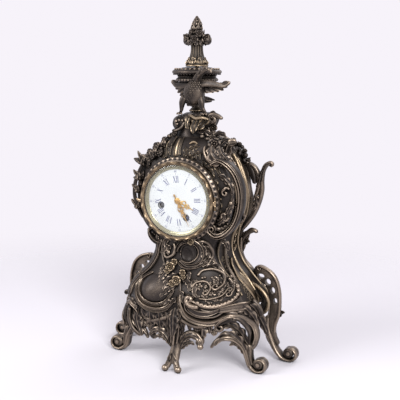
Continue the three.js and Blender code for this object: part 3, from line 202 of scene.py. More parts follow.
room.links.new(choice.outputs[0], room.nodes["World Output"].inputs["Surface"])
scene.world = world

# The cast shell of the clock: one hollow bronze casting with a narrow waist and two swelling cushions
# below, open underneath and behind, and bored at the front for the movement. Its sides are hollow.
MM = 0.001


def through(stops, count):
    """A smooth path: between two stops a cubic that leaves each along the line between its neighbours,
    read at count places evenly spaced by length. Columns past x, y and z are carried along."""
    stops = np.asarray(stops, float)
    ends = np.vstack([2 * stops[0] - stops[1], stops, 2 * stops[-1] - stops[-2]])
    t = np.linspace(0, len(stops) - 1, 30 * len(stops))
    i = np.minimum(t.astype(int), len(stops) - 2)
    f = (t - i)[:, None]
    a, b, c, d = (ends[i + k] for k in range(4))
    fine = 0.5 * (2 * b + (c - a) * f + (2 * a - 5 * b + 4 * c - d) * f**2 + (3 * b - a - 3 * c + d) * f**3)
    run = np.append(0, np.cumsum(np.linalg.norm(np.diff(fine[:, :3], axis=0), axis=1)))
    want = np.linspace(0, run[-1], count)
    return np.column_stack([np.interp(want, run, column) for column in fine.T])


def unit(vectors):
    return vectors / np.maximum(np.linalg.norm(vectors, axis=-1, keepdims=True), 1e-9)


def frames(path, facing):
    """Directions along, across and out of a path: out is the facing direction made square to the path."""
    along = unit(np.gradient(path, axis=0))
    guide = np.broadcast_to(facing, path.shape)
    out = unit(guide - (guide * along).sum(1)[:, None] * along)
    return along, np.cross(along, out), out


def outward(points, quads, tris):
    """The same faces, all turned over if the volume they enclose comes out negative."""
    corners = np.vstack([quads[:, [0, 1, 2]], quads[:, [0, 2, 3]], tris])
    a, b, c = (points[corners[:, k]] for k in range(3))
    if np.einsum("ij,ij->i", a, np.cross(b, c)).sum() < 0:
        return quads[:, ::-1], tris[:, ::-1]
    return quads, tris


def loft(rings, worn=0.5, hoop=False):
    """A skin over n rings of m points: quads between neighbouring rings, closed round each ring, and
    closed by a fan at both ends, or joined end to end for a hoop. worn is 0 in a recess, 1 on an edge."""
    n, m = rings.shape[:2]
    marks = np.array(np.broadcast_to(worn, (n, m)), float).reshape(-1)
    points = rings.reshape(-1, 3)
    row, col = np.arange(n if hoop else n - 1)[:, None], np.arange(m)[None]
    above, beside = (row + 1) % n, (col + 1) % m
    corners = np.broadcast_arrays(row * m + col, row * m + beside, above * m + beside, above * m + col)
    quads = np.stack(corners, -1).reshape(-1, 4)
    tris = np.zeros((0, 3), int)
    if not hoop:
        points = np.vstack([points, rings[0].mean(0), rings[-1].mean(0)])
        marks = np.append(marks, [marks[:m].mean(), marks[-m:].mean()])
        col, beside = col[0], beside[0]
        start = np.column_stack([np.full(m, n * m), beside, col])
        end = np.column_stack([np.full(m, n * m + 1), (n - 1) * m + col, (n - 1) * m + beside])
        tris = np.vstack([start, end])
    return points, *outward(points, quads, tris), marks


def mirrored(patch):
    points, quads, tris, marks = patch
    return points * (-1, 1, 1), quads[:, ::-1], tris[:, ::-1], marks


def points_of(mesh):
    """The places of a mesh's vertices."""
    points = np.zeros(len(mesh.vertices) * 3)
    mesh.vertices.foreach_get("co", points)
    return points.reshape(-1, 3)


def place(mesh, points):
    """Moves a mesh's vertices to points given in millimetres."""
    mesh.vertices.foreach_set("co", (points * MM).ravel())


def settle(mesh, name, material, body, nodes=(), worn=0.5, crease=35):
    """One object from a mesh, smooth up to the crease angle; nodes are the CAD pieces it stands for and
    worn marks its edges."""
    marks = np.zeros(len(mesh.vertices)) + worn
    mesh.attributes.new("worn", "FLOAT", "POINT").data.foreach_set("value", marks)
    mesh.polygons.foreach_set("use_smooth", np.ones(len(mesh.polygons), bool))
    mesh.set_sharp_from_angle(angle=math.radians(crease))
    mesh.materials.clear()
    mesh.materials.append(material)
    made = bpy.data.objects.new(name, mesh)
    scene.collection.objects.link(made)
    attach(made, body)
    if nodes:
        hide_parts(*nodes)


def piece(name, patches, material, body, nodes=(), crease=40):
    """One object from closed patches given in millimetres."""
    starts = np.cumsum([0] + [len(p[0]) for p in patches])
    points = np.vstack([p[0] for p in patches]) * MM
    faces = [f for p, s in zip(patches, starts) for f in (p[1] + s).tolist() + (p[2] + s).tolist()]
    mesh = bpy.data.meshes.new(name)
    mesh.from_pydata(points, [], faces)
    settle(mesh, name, material, body, nodes, np.concatenate([p[3] for p in patches]), crease)


def patina(name, dark, middle, bare, share):
    """Cast bronze: near black patina in the recesses, brown-grey where it is handled little, bare metal on
    the edges. The share of bare metal grows with the worn mark, with broken noise and on convex edges. Where
    ambient occlusion finds a hollow, painted shade pushes the colour further to the dark tone and holds the
    bare metal back."""
    finish = Finish(name)
    worn = finish.node("ShaderNodeAttribute", {"attribute_name": "worn"}, out="Fac")
    edge = finish.node("ShaderNodeNewGeometry", {}, out="Pointiness").from_to(0.49, 0.56)
    cloud, grain = finish.noise(55, 4), finish.noise(900, 3)
    level = worn + edge * 0.35 + cloud * 0.5 - 0.25 + (grain - 0.5) * 0.35
    # Painted shade: the ambient occlusion mask darkens the colour in hollows and between parts.
    open_air = finish.open_air(0.007, 0.32, 0.92)
    bared_and_unshaded = (level.from_to(share, share + 0.55) * open_air).clamped()
    body_colour = finish.mix((level.from_to(0.1, 0.7) * open_air).clamped(), dark, middle)
    return finish.set(
        Base_Color=finish.mix(bared_and_unshaded, body_colour, bare),
        Metallic=(0.85 + bared_and_unshaded * 0.15).clamped(),
        Roughness=(0.5 - bared_and_unshaded * 0.14 + (grain - 0.5) * 0.2).clamped(),
        Normal=finish.bump(finish.noise(420, 4) + grain * 0.3, 0.00035, 0.5),
        Coat_Weight=open_air * 0.09,
        Coat_Roughness=0.28,
    )


bronze = patina(
    "patinated_bronze", (0.005, 0.0041, 0.0037), (0.034, 0.027, 0.0235), (0.245, 0.194, 0.148), 0.59,
)
rubbed_bronze = patina(
    "rubbed_bronze", (0.006, 0.0046, 0.0036), (0.046, 0.036, 0.027), (0.285, 0.218, 0.143), 0.57,
)

case_rows = np.array([
    (60, 66, 78, -16, 32, 4), (78, 80, 92, -18, 34, 7), (92, 88, 99, -18, 35, 9), (108, 80, 92, -18, 33, 7),
    (122, 68, 79, -18, 28, 3), (138, 53, 64, -18, 23, 0), (160, 43, 56, -18, 17, 0),
    (178, 48, 57, -18, 14, 0), (196, 61, 64, -18, 12, 0), (212, 67, 69, -18, 12, 0),
    (230, 70, 71, -18, 12, 0), (252, 68, 67, -18, 12, 0), (276, 58, 60, -17, 10, 0),
    (294, 43, 48, -14, 8, 0), (305, 32, 37, -10, 6, 0), (312, 22, 27, -4, 4, 0),
], float)
case_fine = through(np.column_stack([np.zeros((len(case_rows), 2)), case_rows]), 600)[:, 2:]
CASE_BACK = 48


def case_at(z):
    """Half width in front and behind, front edge Y, middle depth and cushion depth of the shell at z."""
    return [np.interp(z, case_fine[:, 0], case_fine[:, k]) for k in range(1, 6)]


def case_front(x, z):
    """Y of the shell's front: the edge line, less the bow in the middle, less the two cushions."""
    front, _, edge, depth, cushion = case_at(z)
    s = np.clip(np.abs(x) / front, 0, 1)
    return edge - depth * (1 - s**2.4) - cushion * np.exp(-(((s - 0.52) / 0.24) ** 2))


def case_side(y, z):
    """Half width of the shell's side at y and z: straight from front edge to back, less a hollow."""
    front, rear, edge, _, _ = case_at(z)
    t = np.clip((np.asarray(y) - edge) / (CASE_BACK - edge), 0, 1)
    return front + (rear - front) * t - 3 * np.sin(np.pi * t)


def case_rings(z, grow, back, fan=0.0):
    """Level loops of the shell at heights z, grown outwards: the front from side to side, each flank,
    and the back. fan raises soft gadroons that spread above the dial."""
    z = np.asarray(z, float)[:, None]
    front, rear, edge, _, _ = case_at(z)
    s = np.linspace(-1, 1, 97)[None]
    x = front * s
    y = case_front(x, z)
    spread = np.degrees(np.arctan2(x, z - 230))
    ray_lift = fan * np.clip((z - 284) / 10, 0, 1) * (0.5 + 0.5 * np.cos(np.radians(spread * 22)))
    first = np.stack([x * (1 + grow / front), y - grow - ray_lift, np.broadcast_to(z, y.shape)], -1)
    t = np.linspace(0, 1, 27)[None, 1:]
    side_y = edge - grow + (back - edge + grow) * t
    side_x = front + (rear - front) * t - 3 * np.sin(np.pi * t) + grow
    flank = np.stack(np.broadcast_arrays(side_x, side_y, z), -1)
    b = np.linspace(1, -1, 9)[None, 1:-1]
    rear_line = np.stack(np.broadcast_arrays((rear + grow) * b, back, z), -1)
    return np.concatenate([first, flank, rear_line, flank[:, ::-1] * (-1, 1, 1)], axis=1)


under_rim = [
    (-88, 84), (-68, 80), (-52, 69), (-34, 64), (-12, 71), (0, 77), (12, 71), (34, 64), (52, 69), (68, 80),
    (88, 84),
]


def carve(name, whole, tools):
    """The first closed patch less the others, by exact boolean, as points and faces."""
    objects = []
    for patch in [whole, *tools]:
        mesh = bpy.data.meshes.new(name)
        mesh.from_pydata(patch[0], [], patch[1].tolist() + patch[2].tolist())
        objects.append(bpy.data.objects.new(name, mesh))
        scene.collection.objects.link(objects[-1])
    for tool in objects[1:]:
        difference = objects[0].modifiers.new("cut", "BOOLEAN")
        difference.operation, difference.solver, difference.object = "DIFFERENCE", "EXACT", tool
    bpy.context.view_layer.update()
    cut = bpy.data.meshes.new_from_object(objects[0].evaluated_get(bpy.context.evaluated_depsgraph_get()))
    for thing in objects:
        bpy.data.objects.remove(thing)
    return cut


def spool(x, z, rows, count=40, worn=0.6, hoop=False):
    """Turned about an axis along Y through x, z: rows of radius and y, closed at both ends, or a closed
    loop of rows for a hoop."""
    a = np.linspace(0, 2 * np.pi, count, endpoint=False)[None]
    r, y = (column[:, None] + 0 * a for column in np.array(rows, float).T)
    return loft(np.stack([x + r * np.sin(a), y, z + r * np.cos(a)], -1), worn, hoop)


DIAL_Z = sum(corner.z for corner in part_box("dial")) / 2 / MM
rim_line = through([(x, 0, z) for x, z in under_rim], 90)[:, [0, 2]]
rim_line = np.vstack([[-160, 84], rim_line, [160, 84]])
rim_shape = np.vstack([rim_line, np.column_stack([np.linspace(160, -160, 20), np.full(20, 20.0)])])
rim_cutter = loft(np.stack([np.insert(rim_shape, 1, y, axis=1) for y in (-130, 130)]))
# A dark hollow stands in the waist, within the rocaille: an egg cut into the casting.
lat, lon = np.linspace(0.06, np.pi - 0.06, 16)[:, None], np.linspace(0, 2 * np.pi, 40, endpoint=False)[None]
hollow = [13.5 + 10.5 * np.sin(lat) * np.cos(lon), -36.5 + 5.2 * np.cos(lat) + 0 * lon]
hollow_rings = np.stack([*hollow, 160 + 11.5 * np.sin(lat) * np.sin(lon)], -1)
shell = carve(
    "case_shell", loft(case_rings(np.linspace(60, 312, 190), 0, CASE_BACK, fan=1.3)),
    [
        loft(case_rings(np.linspace(54, 304, 60), -4, CASE_BACK + 10)),
        spool(0, DIAL_Z, [(48, -60), (48, CASE_BACK + 5)], 96), loft(hollow_rings), rim_cutter,
    ],
)
shell_points = points_of(shell)
x, y, z = shell_points.T
rim_height = np.interp(x, rim_line[:, 0], rim_line[:, 1])
flank = np.clip((y + 10) / 12, 0, 1) * np.clip((z - 190) / 20, 0, 1)
shell_worn = 0.42 + 0.4 * np.exp(-(((z - rim_height) / 3) ** 2)) + 0.38 * flank
place(shell, shell_points)
settle(shell, "case_shell", bronze, "case", ["case_body"], worn=shell_worn)

# The mouldings and panels cast with the shell: a rolled rim under it, C-shaped straps round a swelling
# oval on the left cushion and a scroll-filled panel on the right one, straps at the corners, and a
# shell of flutes over the dial. All is raised work of the same casting, brighter where it is rubbed.
SPAN = np.linspace(-1, 1, 15)
SECTIONS = {
    "cord": np.sqrt(1 - SPAN ** 2),
    "band": 0.5 - 0.22 * np.abs(SPAN) + 0.62 * np.exp(-((np.abs(SPAN) - 0.78) / 0.17) ** 2),
    "ogee": 0.42 * (1 - SPAN ** 8) + 0.58 * np.exp(-(SPAN / 0.3) ** 2),
}


def case_normal(path):
    """Square to the shell: the slope of its front face, turning to plain sideways past its corners."""
    x, z = path[:, 0], path[:, 2]
    step = 0.4
    slope_x = (case_front(x + step, z) - case_front(x - step, z)) / (2 * step)
    slope_z = (case_front(x, z + step) - case_front(x, z - step)) / (2 * step)
    front = unit(np.column_stack([slope_x, np.full(len(x), -1.0), slope_z]))
    corner = np.clip((np.abs(x) / case_at(z)[0] - 0.92) / 0.1, 0, 1)[:, None]
    sideways = np.column_stack([np.sign(x), np.full(len(x), -0.1), np.zeros(len(x))])
    return unit(front * (1 - corner) + sideways * corner)


def paced(stops, fine, fewest, most):
    """The length of a line of stops, and the smooth path through them with a place every fine mm."""
    stops = np.asarray(stops, float)
    run = np.linalg.norm(np.diff(stops[:, :3], axis=0), axis=1).sum()
    return run, through(stops, int(np.clip(run / fine, fewest, most)))


def stroke(stops, worn=0.6, section="cord", half=3, height=3, facing=(0, -1, 0), sink=1.5, fine=1.3):
    """A moulding along a smooth path. Across the path u runs from -1 to 1 and the face stands at
    height * section(u); the foot lies sink below the path. A bar is a free-standing strap, oval on both
    sides. Width and height come from the stops if they carry them, and fall to nothing at both ends
    along a quarter ellipse."""
    run, path = paced(stops, fine, 14, 260)
    count, point = len(path), path[:, :3]
    w, h = path[:, 3:].T if path.shape[1] > 3 else np.full((2, count), [[half], [height]], float)
    guide = facing(point) if callable(facing) else facing
    _, across, out = (d[:, None] for d in frames(point, guide))
    f = np.linspace(0, 1, count)
    near = np.minimum(f, 1 - f) * run / np.maximum(w, 0.1)
    close = np.sqrt(1 - (1 - np.clip(near + 0.02, 0, 1)) ** 2)[:, None]
    w, h = w[:, None] * close, h[:, None] * close
    if section == "bar":
        a = np.linspace(0, 2 * np.pi, 20, endpoint=False)
        u, v = np.sign(np.cos(a)) * np.abs(np.cos(a)) ** 0.8, np.sign(np.sin(a)) * np.abs(np.sin(a)) ** 0.7
        marks = worn + 0.3 * np.abs(u * v) ** 0.5 - 0.1
        v = h * v
    else:
        top = SECTIONS[section]
        u = np.concatenate([SPAN, [0.86, 0, -0.86]])
        v = np.concatenate([h * top, np.broadcast_to(-sink * close, (count, 3))], axis=1)
        marks = worn + 0.45 * (np.append(top, [0, 0, 0]) - top.mean())
    return loft(point[:, None] + across * (w * u)[..., None] + out * v[..., None], marks)


def strap(stops, worn, section="cord", half=3, height=3):
    """A moulding square to the shell, along a path in space."""
    return stroke(stops, worn, section, half, height, case_normal)


def bar(stops, worn=0.6, facing=(0, -1, 0), half=3, height=3, fine=1.3):
    """A free-standing strap."""
    return stroke(stops, worn, "bar", half, height, facing, fine=fine)


def curl(flat, radius, turns=1.2, hand=1, start=False):
    """Rows of x, z and sizes with a spiral added at one end: its radius falls from radius by 75 % over
    its turns and the sizes by 45 %. hand 1 turns left as seen from the front, -1 right."""
    line = np.asarray(flat, float)
    line = line[::-1] if start else line
    tip = unit(line[-1, :2] - line[-2, :2])
    normal = hand * np.array([-tip[1], tip[0]])
    f = np.linspace(0, 1, int(9 * turns) + 1)[1:, None]
    r = radius * (1 - 0.75 * f)
    centre = line[-1, :2] + normal * radius
    ring = centre - normal * r * np.cos(2 * np.pi * turns * f) + tip * r * np.sin(2 * np.pi * turns * f)
    line = np.vstack([line, np.column_stack([ring, line[-1, 2:] * (1 - 0.45 * f)])])
    return line[::-1] if start else line


def at_depth(flat, y):
    """Rows x, z, sizes made x, y, z, sizes with y plain or one value for every row."""
    flat = np.asarray(flat, float)
    return np.column_stack([flat[:, 0], np.broadcast_to(y, len(flat)), flat[:, 1:]])


def curled(flat, y, *spiral):
    """A curl at a depth."""
    return at_depth(curl(flat, *spiral), y)


def upon(flat, lift=0.0):
    """The same for a line drawn on the shell's front: resampled, then laid on the face, lift above it."""
    flat = np.asarray(flat, float)
    run = through(np.column_stack([flat[:, 0], np.zeros(len(flat)), flat[:, 1:]]), 12 * len(flat))
    run[:, 1] = case_front(run[:, 0], run[:, 2])
    run[:, :3] += case_normal(run[:, :3]) * lift
    return run


def laid(flat, worn, lift=0, section="cord"):
    """A moulding drawn on the shell's front."""
    return strap(upon(flat, lift), worn, section)


def leaf(stops, half, lobes, thick, arch, lick, worn=0.5, fine=0.9, facing=(0, -1, 0)):
    """An acanthus leaf along a path: half width = half sin(pi u^0.8)^0.6, cut in by 38 % between its
    lobes, which lean forward; a rib down the middle, veins running out to the lobes, edges falling by
    arch times the width, and the tip turned out by lick."""
    _, path = paced(stops, fine, 18, 90)
    path = path[:, :3]
    guide = facing(path) if callable(facing) else facing
    along, across, out = (d[:, None] for d in frames(path, guide))
    u, v = np.linspace(0, 1, len(path))[:, None], np.linspace(-1, 1, 13)[None]
    grow = np.sin(np.pi * (0.08 + 0.915 * u**0.8)) ** 0.6
    notch = 1 - 0.38 * np.abs(np.cos(np.pi * lobes * u)) ** 3 * (1 - u**3)
    wide = half * grow * notch
    rib = np.exp(-((v / 0.17) ** 2))
    vein = np.cos(2 * np.pi * (lobes * u - 0.8 * np.abs(v)))
    rise = thick * (0.9 * rib + 0.4 * vein * np.abs(v) * (1 - rib)) * grow - arch * wide * v**2 + lick * u**4
    lean = 0.4 * half * grow * np.abs(v) * (1 - u)
    face = path[:, None] + across * (v * wide)[..., None] + along * lean[..., None] + out * rise[..., None]
    rear = face - out * (thick * (0.25 + 0.75 * grow))[..., None]
    marks = worn + 0.3 * rib + 0.25 * np.abs(v) ** 3 + 0.12 * vein
    rings = np.concatenate([face, rear[:, ::-1]], axis=1)
    return loft(rings, np.concatenate([marks, np.zeros_like(marks)], axis=1))


def rosette(centre, radius, facing, petals, rise, worn):
    """A flower: a domed eye within two rings of petals, the outer ring turned by half a petal; each
    petal is a swelling between two folds, and the edge stands in by an eighth between petals."""
    out = unit(np.array(facing, float))
    side = unit(np.cross(out, (0.2, 0.13, 1.0)))
    up = np.cross(out, side)
    a = np.linspace(0, 2 * np.pi, petals * 8, endpoint=False)[None]
    inner, outer = (np.abs(np.cos(petals * a / 2 + phase)) ** 0.5 for phase in (0, np.pi / 2))
    f = np.array([0.05, 0.12, 0.19, 0.24, 0.33, 0.45, 0.57, 0.62, 0.74, 0.86, 0.95, 1.0])[:, None]
    reach = radius * f * (1 - 0.12 * (1 - outer) * f)
    eye = 0.8 * np.sqrt(np.clip(1 - (f / 0.24) ** 2, 0, 1))
    low, high = (np.sin(np.pi * np.clip((f - s) / w, 0, 1)) ** 0.6 for s, w in ((0.5, 0.62), (0.2, 0.44)))
    petal = np.maximum(0.95 * high * (0.55 + 0.45 * inner), 0.62 * low * (0.5 + 0.5 * outer))
    height = rise * np.maximum(eye, petal)
    marks = np.concatenate([worn + 0.35 * (height / rise - 0.5), np.zeros((2, a.size))])
    r = np.concatenate([reach, 0.96 * reach[-1:], 0.3 * reach[-1:]])[..., None]
    h = np.concatenate([height, np.full((1, a.size), -0.35 * rise), np.full((1, a.size), -0.4 * rise)])
    spokes = np.cos(a)[..., None] * side + np.sin(a)[..., None] * up
    return loft(centre + r * spokes + h[..., None] * out, marks)


def scattered(patch, centres, sizes):
    """Copies of one small patch, scaled and moved, as a single patch."""
    points, quads, tris, marks = patch
    centres = np.asarray(centres, float)
    sizes = np.broadcast_to(np.asarray(sizes, float), len(centres))
    shift = (np.arange(len(centres)) * len(points))[:, None, None]
    return (
        (points[None] * sizes[:, None, None] + centres[:, None]).reshape(-1, 3),
        (quads[None] + shift).reshape(-1, 4),
        (tris[None] + shift).reshape(-1, 3),
        np.tile(marks, len(centres)),
    )


def balls(centres, radii, worn=0.7, bands=6, sides=10):
    """Small spheres of a few dozen faces at each centre."""
    lat = np.linspace(0, np.pi, bands + 2)[1:-1, None]
    lon = np.linspace(0, 2 * np.pi, sides, endpoint=False)[None]
    rings = np.stack([np.sin(lat) * np.cos(lon), np.sin(lat) * np.sin(lon), np.cos(lat) + 0 * lon], -1)
    return scattered(loft(rings, worn), centres, radii)


def ball(centre, radius, worn, bands=7, sides=12):
    """One such sphere, with more faces."""
    return balls([centre], radius, worn, bands, sides)


def dome(centre, reach, rise, worn):
    """A swelling laid on the shell's front about centre (x, z): standing rise (1 - f^2)^0.8 at the share
    f of its reach."""
    f = np.array([0.03, 0.12, 0.25, 0.38, 0.5, 0.62, 0.74, 0.84, 0.92, 0.97, 1.0])[:, None]
    a = np.linspace(0, 2 * np.pi, 72, endpoint=False)[None]
    x, z = centre[0] + reach[0] * f * np.cos(a), centre[1] + reach[1] * f * np.sin(a)
    height = rise * (1 - f**2) ** 0.8 + 0 * a
    flat = np.stack([x, case_front(x, z), z], -1)
    normal = case_normal(flat.reshape(-1, 3)).reshape(flat.shape)
    under = (flat - normal * 1.5)[-1:]
    middle = under.mean(axis=1, keepdims=True) * 0.7 + under * 0.3
    marks = np.concatenate([worn + 0.3 * (height / rise - 0.4), np.zeros((2, a.size))])
    return loft(np.concatenate([flat + normal * height[..., None], under, middle]), marks)


def on_flank(y, z, *sizes):
    """Places on the shell's right side at y and z, with any sizes beside them."""
    return np.column_stack([case_side(y, z), y, z, *sizes])


rim_x = np.linspace(84, -84, 80)
rim_z = np.interp(rim_x, rim_line[:, 0], rim_line[:, 1]) + 2.2
rim_front = np.column_stack([rim_x, case_front(rim_x, rim_z), rim_z])
rim_y = np.linspace(46, -10, 14)
rim_flank = np.column_stack([case_side(rim_y, 86.0), rim_y, np.full(14, 86.5)])
rim_path = np.vstack([rim_flank, rim_front, rim_flank[::-1] * (-1, 1, 1)])
relief = [strap(rim_path, 0.7, half=2.6, height=3), strap(rim_path + (0, 0, 5), 0.5, half=1.3, height=2)]
# The left cushion: an oval in relief inside two rims, the outer one broad, with a strap down the corner.
left_rim = [
    (-36, 130, 2, 2.5), (-54, 117, 2.3, 3), (-53, 104, 2.6, 3.5), (-41, 95, 2.8, 3.5), (-27, 91, 2.8, 3.5),
    (-13, 94, 2.4, 3), (-4, 104, 2, 2.5), (1, 113, 1.4, 2),
]
left_outer = [
    (-58, 118, 1.6, 2), (-62, 107, 2.2, 3), (-54, 96, 3.2, 4), (-40, 87.5, 3.8, 5), (-24, 84, 4, 5),
    (-9, 88, 3.2, 4.6), (2, 99, 2, 3),
]
relief += [
    dome((-28, 111), (22.5, 18), 4.4, 0.5), laid(left_rim, 0.78, section="band"),
    laid(curl(left_outer, 5, 1.1, 1, True), 0.85, section="band"),
    strap([
        (-27, -29, 174), (-31, -28, 165), (-34, -28, 151), (-44, -29, 134), (-60, -27, 119),
        (-72, -26, 106), (-76, -28, 95), (-84, -18, 84),
    ], 0.6, "band", 3.2, 3.4),
]
# The right cushion: a lobed rim of beads on a strap that ends in a volute, leaf scrolls and small
# studs inside, and a broad moulding that runs off to the corner.
panel_edge = [
    (47, 17, 170), (47, 12, 155), (53, 4, 140), (66, -4, 126), (76, -12, 113), (79, -22, 104),
    (73, -32, 99),
]
relief += [
    strap(panel_edge, 0.55, "band", 2.6, 3.4),
    laid([
        (76.5, 122, 1.4, 1.8), (78.5, 111, 2, 2.6), (75, 101.5, 2.6, 3.2), (66, 97.5, 2.8, 3.4),
        (57, 95.6, 2.8, 3.4), (45, 97, 2.8, 3.4), (33, 101, 2.4, 3.2), (24, 102, 2, 3),
    ], 0.9, 0.5),
    laid(curl([(40, 95.5, 3, 4.5), (30, 96, 4, 6), (24, 99, 4, 6)], 4.5, 1.2, -1), 1.05, 1),
]
relief.append(strap([
    (58, -43, 90, 3, 2), (65, -39, 91, 4.5, 2.6), (74, -31, 92, 5.5, 3), (82, -23.5, 92.5, 5.5, 3),
    (87.5, -14, 92, 5, 2.6), (88, 0, 90, 4, 2),
], 0.8, "band"))
bead_line = upon([(77.5, 118), (78.5, 110), (76, 103), (68, 98.6), (58, 96.6), (47, 97.6), (38, 100.5)], 1.3)
relief.append(balls(through(bead_line[:, :3], 14), 2.9, 1))
for flat, half, high, end in (
    ([(30, 131), (34, 138), (46, 139), (57, 132), (61, 122), (56, 116)], 2.2, 4.0, 4.0),
    ([(26, 117), (31, 124), (41, 124.5), (48, 118), (47, 112)], 2.0, 3.6, 3.0),
    ([(64, 128), (72, 118), (72, 109)], 1.8, 3.0, 3.0),
    ([(38, 106), (50, 105), (62, 108), (67, 115)], 1.6, 2.8, 2.6),
):
    rows = [(x, z, half, high) for x, z in flat]
    relief.append(laid(curl(rows, end, 1.1, -1), 0.72, 0.6))
for stops, half, lobes in (
    ([(36, 141), (46, 144), (55, 138), (59, 130)], 4.2, 4),
    ([(40, 113), (50, 112), (58, 114), (64, 121)], 4.0, 4),
    ([(22, 128), (29, 121), (31, 112), (37, 107)], 4.0, 3), ([(46, 130), (52, 126), (52, 118)], 4.0, 3),
    ([(68, 113), (62, 105), (52, 104)], 3.6, 3), ([(33, 148), (41, 152), (46, 148)], 3.4, 3),
    ([(20, 110), (26, 106), (33, 108)], 3.2, 3),
):
    relief.append(leaf(upon(stops, 1.4), half, lobes, 1.5, 0.1, 1.5, 0.55, facing=case_normal))
chance = np.random.default_rng(11)
spread = np.array([54, 116]) + chance.normal(0, 1, (230, 2)) * (15, 11)
spread = spread[(np.abs((spread[:, 0] - 52) / 26) ** 2 + np.abs((spread[:, 1] - 118) / 18) ** 2) < 1]
spread = np.column_stack([spread[:, 0], case_front(spread[:, 0], spread[:, 1]), spread[:, 1]])
relief.append(balls(spread, chance.uniform(1.2, 2.6, len(spread)), 0.5, 4, 8))
# Below the panel a broad strap sweeps from the middle round into the right leg, a skirt moulding
# within it and a broad worn moulding between it and the panel.
sweep = [
    (9, -51, 108, 2, 3), (12, -54, 94, 3.2, 4), (22, -55, 81, 3.8, 5), (38, -52, 74.5, 4, 5),
    (54, -43, 73.5, 4, 5), (68, -33, 81, 3.6, 5), (80, -22, 86, 3.4, 4),
]
relief += [
    strap(sweep, 0.92, "band"),
    strap([
        (18, -54, 98), (22, -55, 88), (38, -54, 82), (56, -45, 82), (66, -36, 88),
    ], 0.6, half=1.4, height=2.4),
    laid([
        (20.5, 98, 2.2, 1.4), (26, 91.5, 3.4, 2), (37, 87.6, 4.2, 2.4), (50, 87, 4, 2.2),
        (61, 89.5, 2.4, 1.2),
    ], 0.62, 0.3, "band"),
    laid([(42, 93, 0.8, 1), (53, 89, 3, 2.4), (62, 92, 1, 1)], 0.6),
]
piece("case_relief", relief, bronze, "case")

# The hood over the dial and the flanks of the drum, cast with the shell and rubbed bright: drapery, flutes
# and a pilaster above, and down each side straps that run on to the lower corners, two broad bands, a
# lattice set with studs, a ground of small studs and a hanging leaf and scroll.
hood = [
    laid([(-16.5, 287, 1.2, 2.2), (-16, 300, 1.2, 2.6), (-13, 311, 1.2, 2.4)], 0.4),
    laid([(-1.6, 288, 1.3, 2.4), (-2, 300, 1.3, 2.8), (-2, 311, 1.3, 2.4)], 0.4),
    laid([(-8.5, 286, 4.8, 2.2), (-8.5, 298, 4.6, 2.6), (-7, 310, 4, 2)], 0.62, section="ogee"),
    laid([(-16, 285, 1.8, 3), (-9, 283.5, 2, 3.4), (-2, 285, 1.8, 3)], 0.7),
    laid([(8, 303, 1, 1.6), (14, 305.5, 1.9, 3), (20, 303, 1, 1.6)], 0.95),
]
for stops, half in (
    ([(24, 300), (16, 299), (9, 294), (4, 287)], 4.4), ([(28, 292), (20, 291), (13, 287), (8, 282)], 4.2),
    ([(4, 300), (6, 293), (11, 288), (18, 285)], 4.0),
    ([(-22, 306), (-24, 298), (-22, 290), (-26, 284)], 4.2),
    ([(30, 284), (34, 276), (42, 270), (46, 262)], 4.6),
    ([(40, 268), (47, 258), (50, 246), (53, 234)], 4.4),
    ([(52, 240), (54, 228), (53, 216), (56, 206)], 4.2),
    ([(36, 290), (41, 282), (48, 276), (54, 266)], 4.2),
):
    hood.append(leaf(upon(stops, 1.2), half, 4, 1.6, 0.15, 1.6, 0.32, 0.7, case_normal))
for x, top in ((-27, 302), (-21, 306), (5, 300), (10, 297), (15, 298), (20, 296), (25, 294)):
    rows = [(x * 1.06, 283, 1.6, 1.0), (x, 291, 2.4, 1.8), (x * 0.86, top, 1.8, 1.2)]
    hood.append(laid(rows, 0.25))
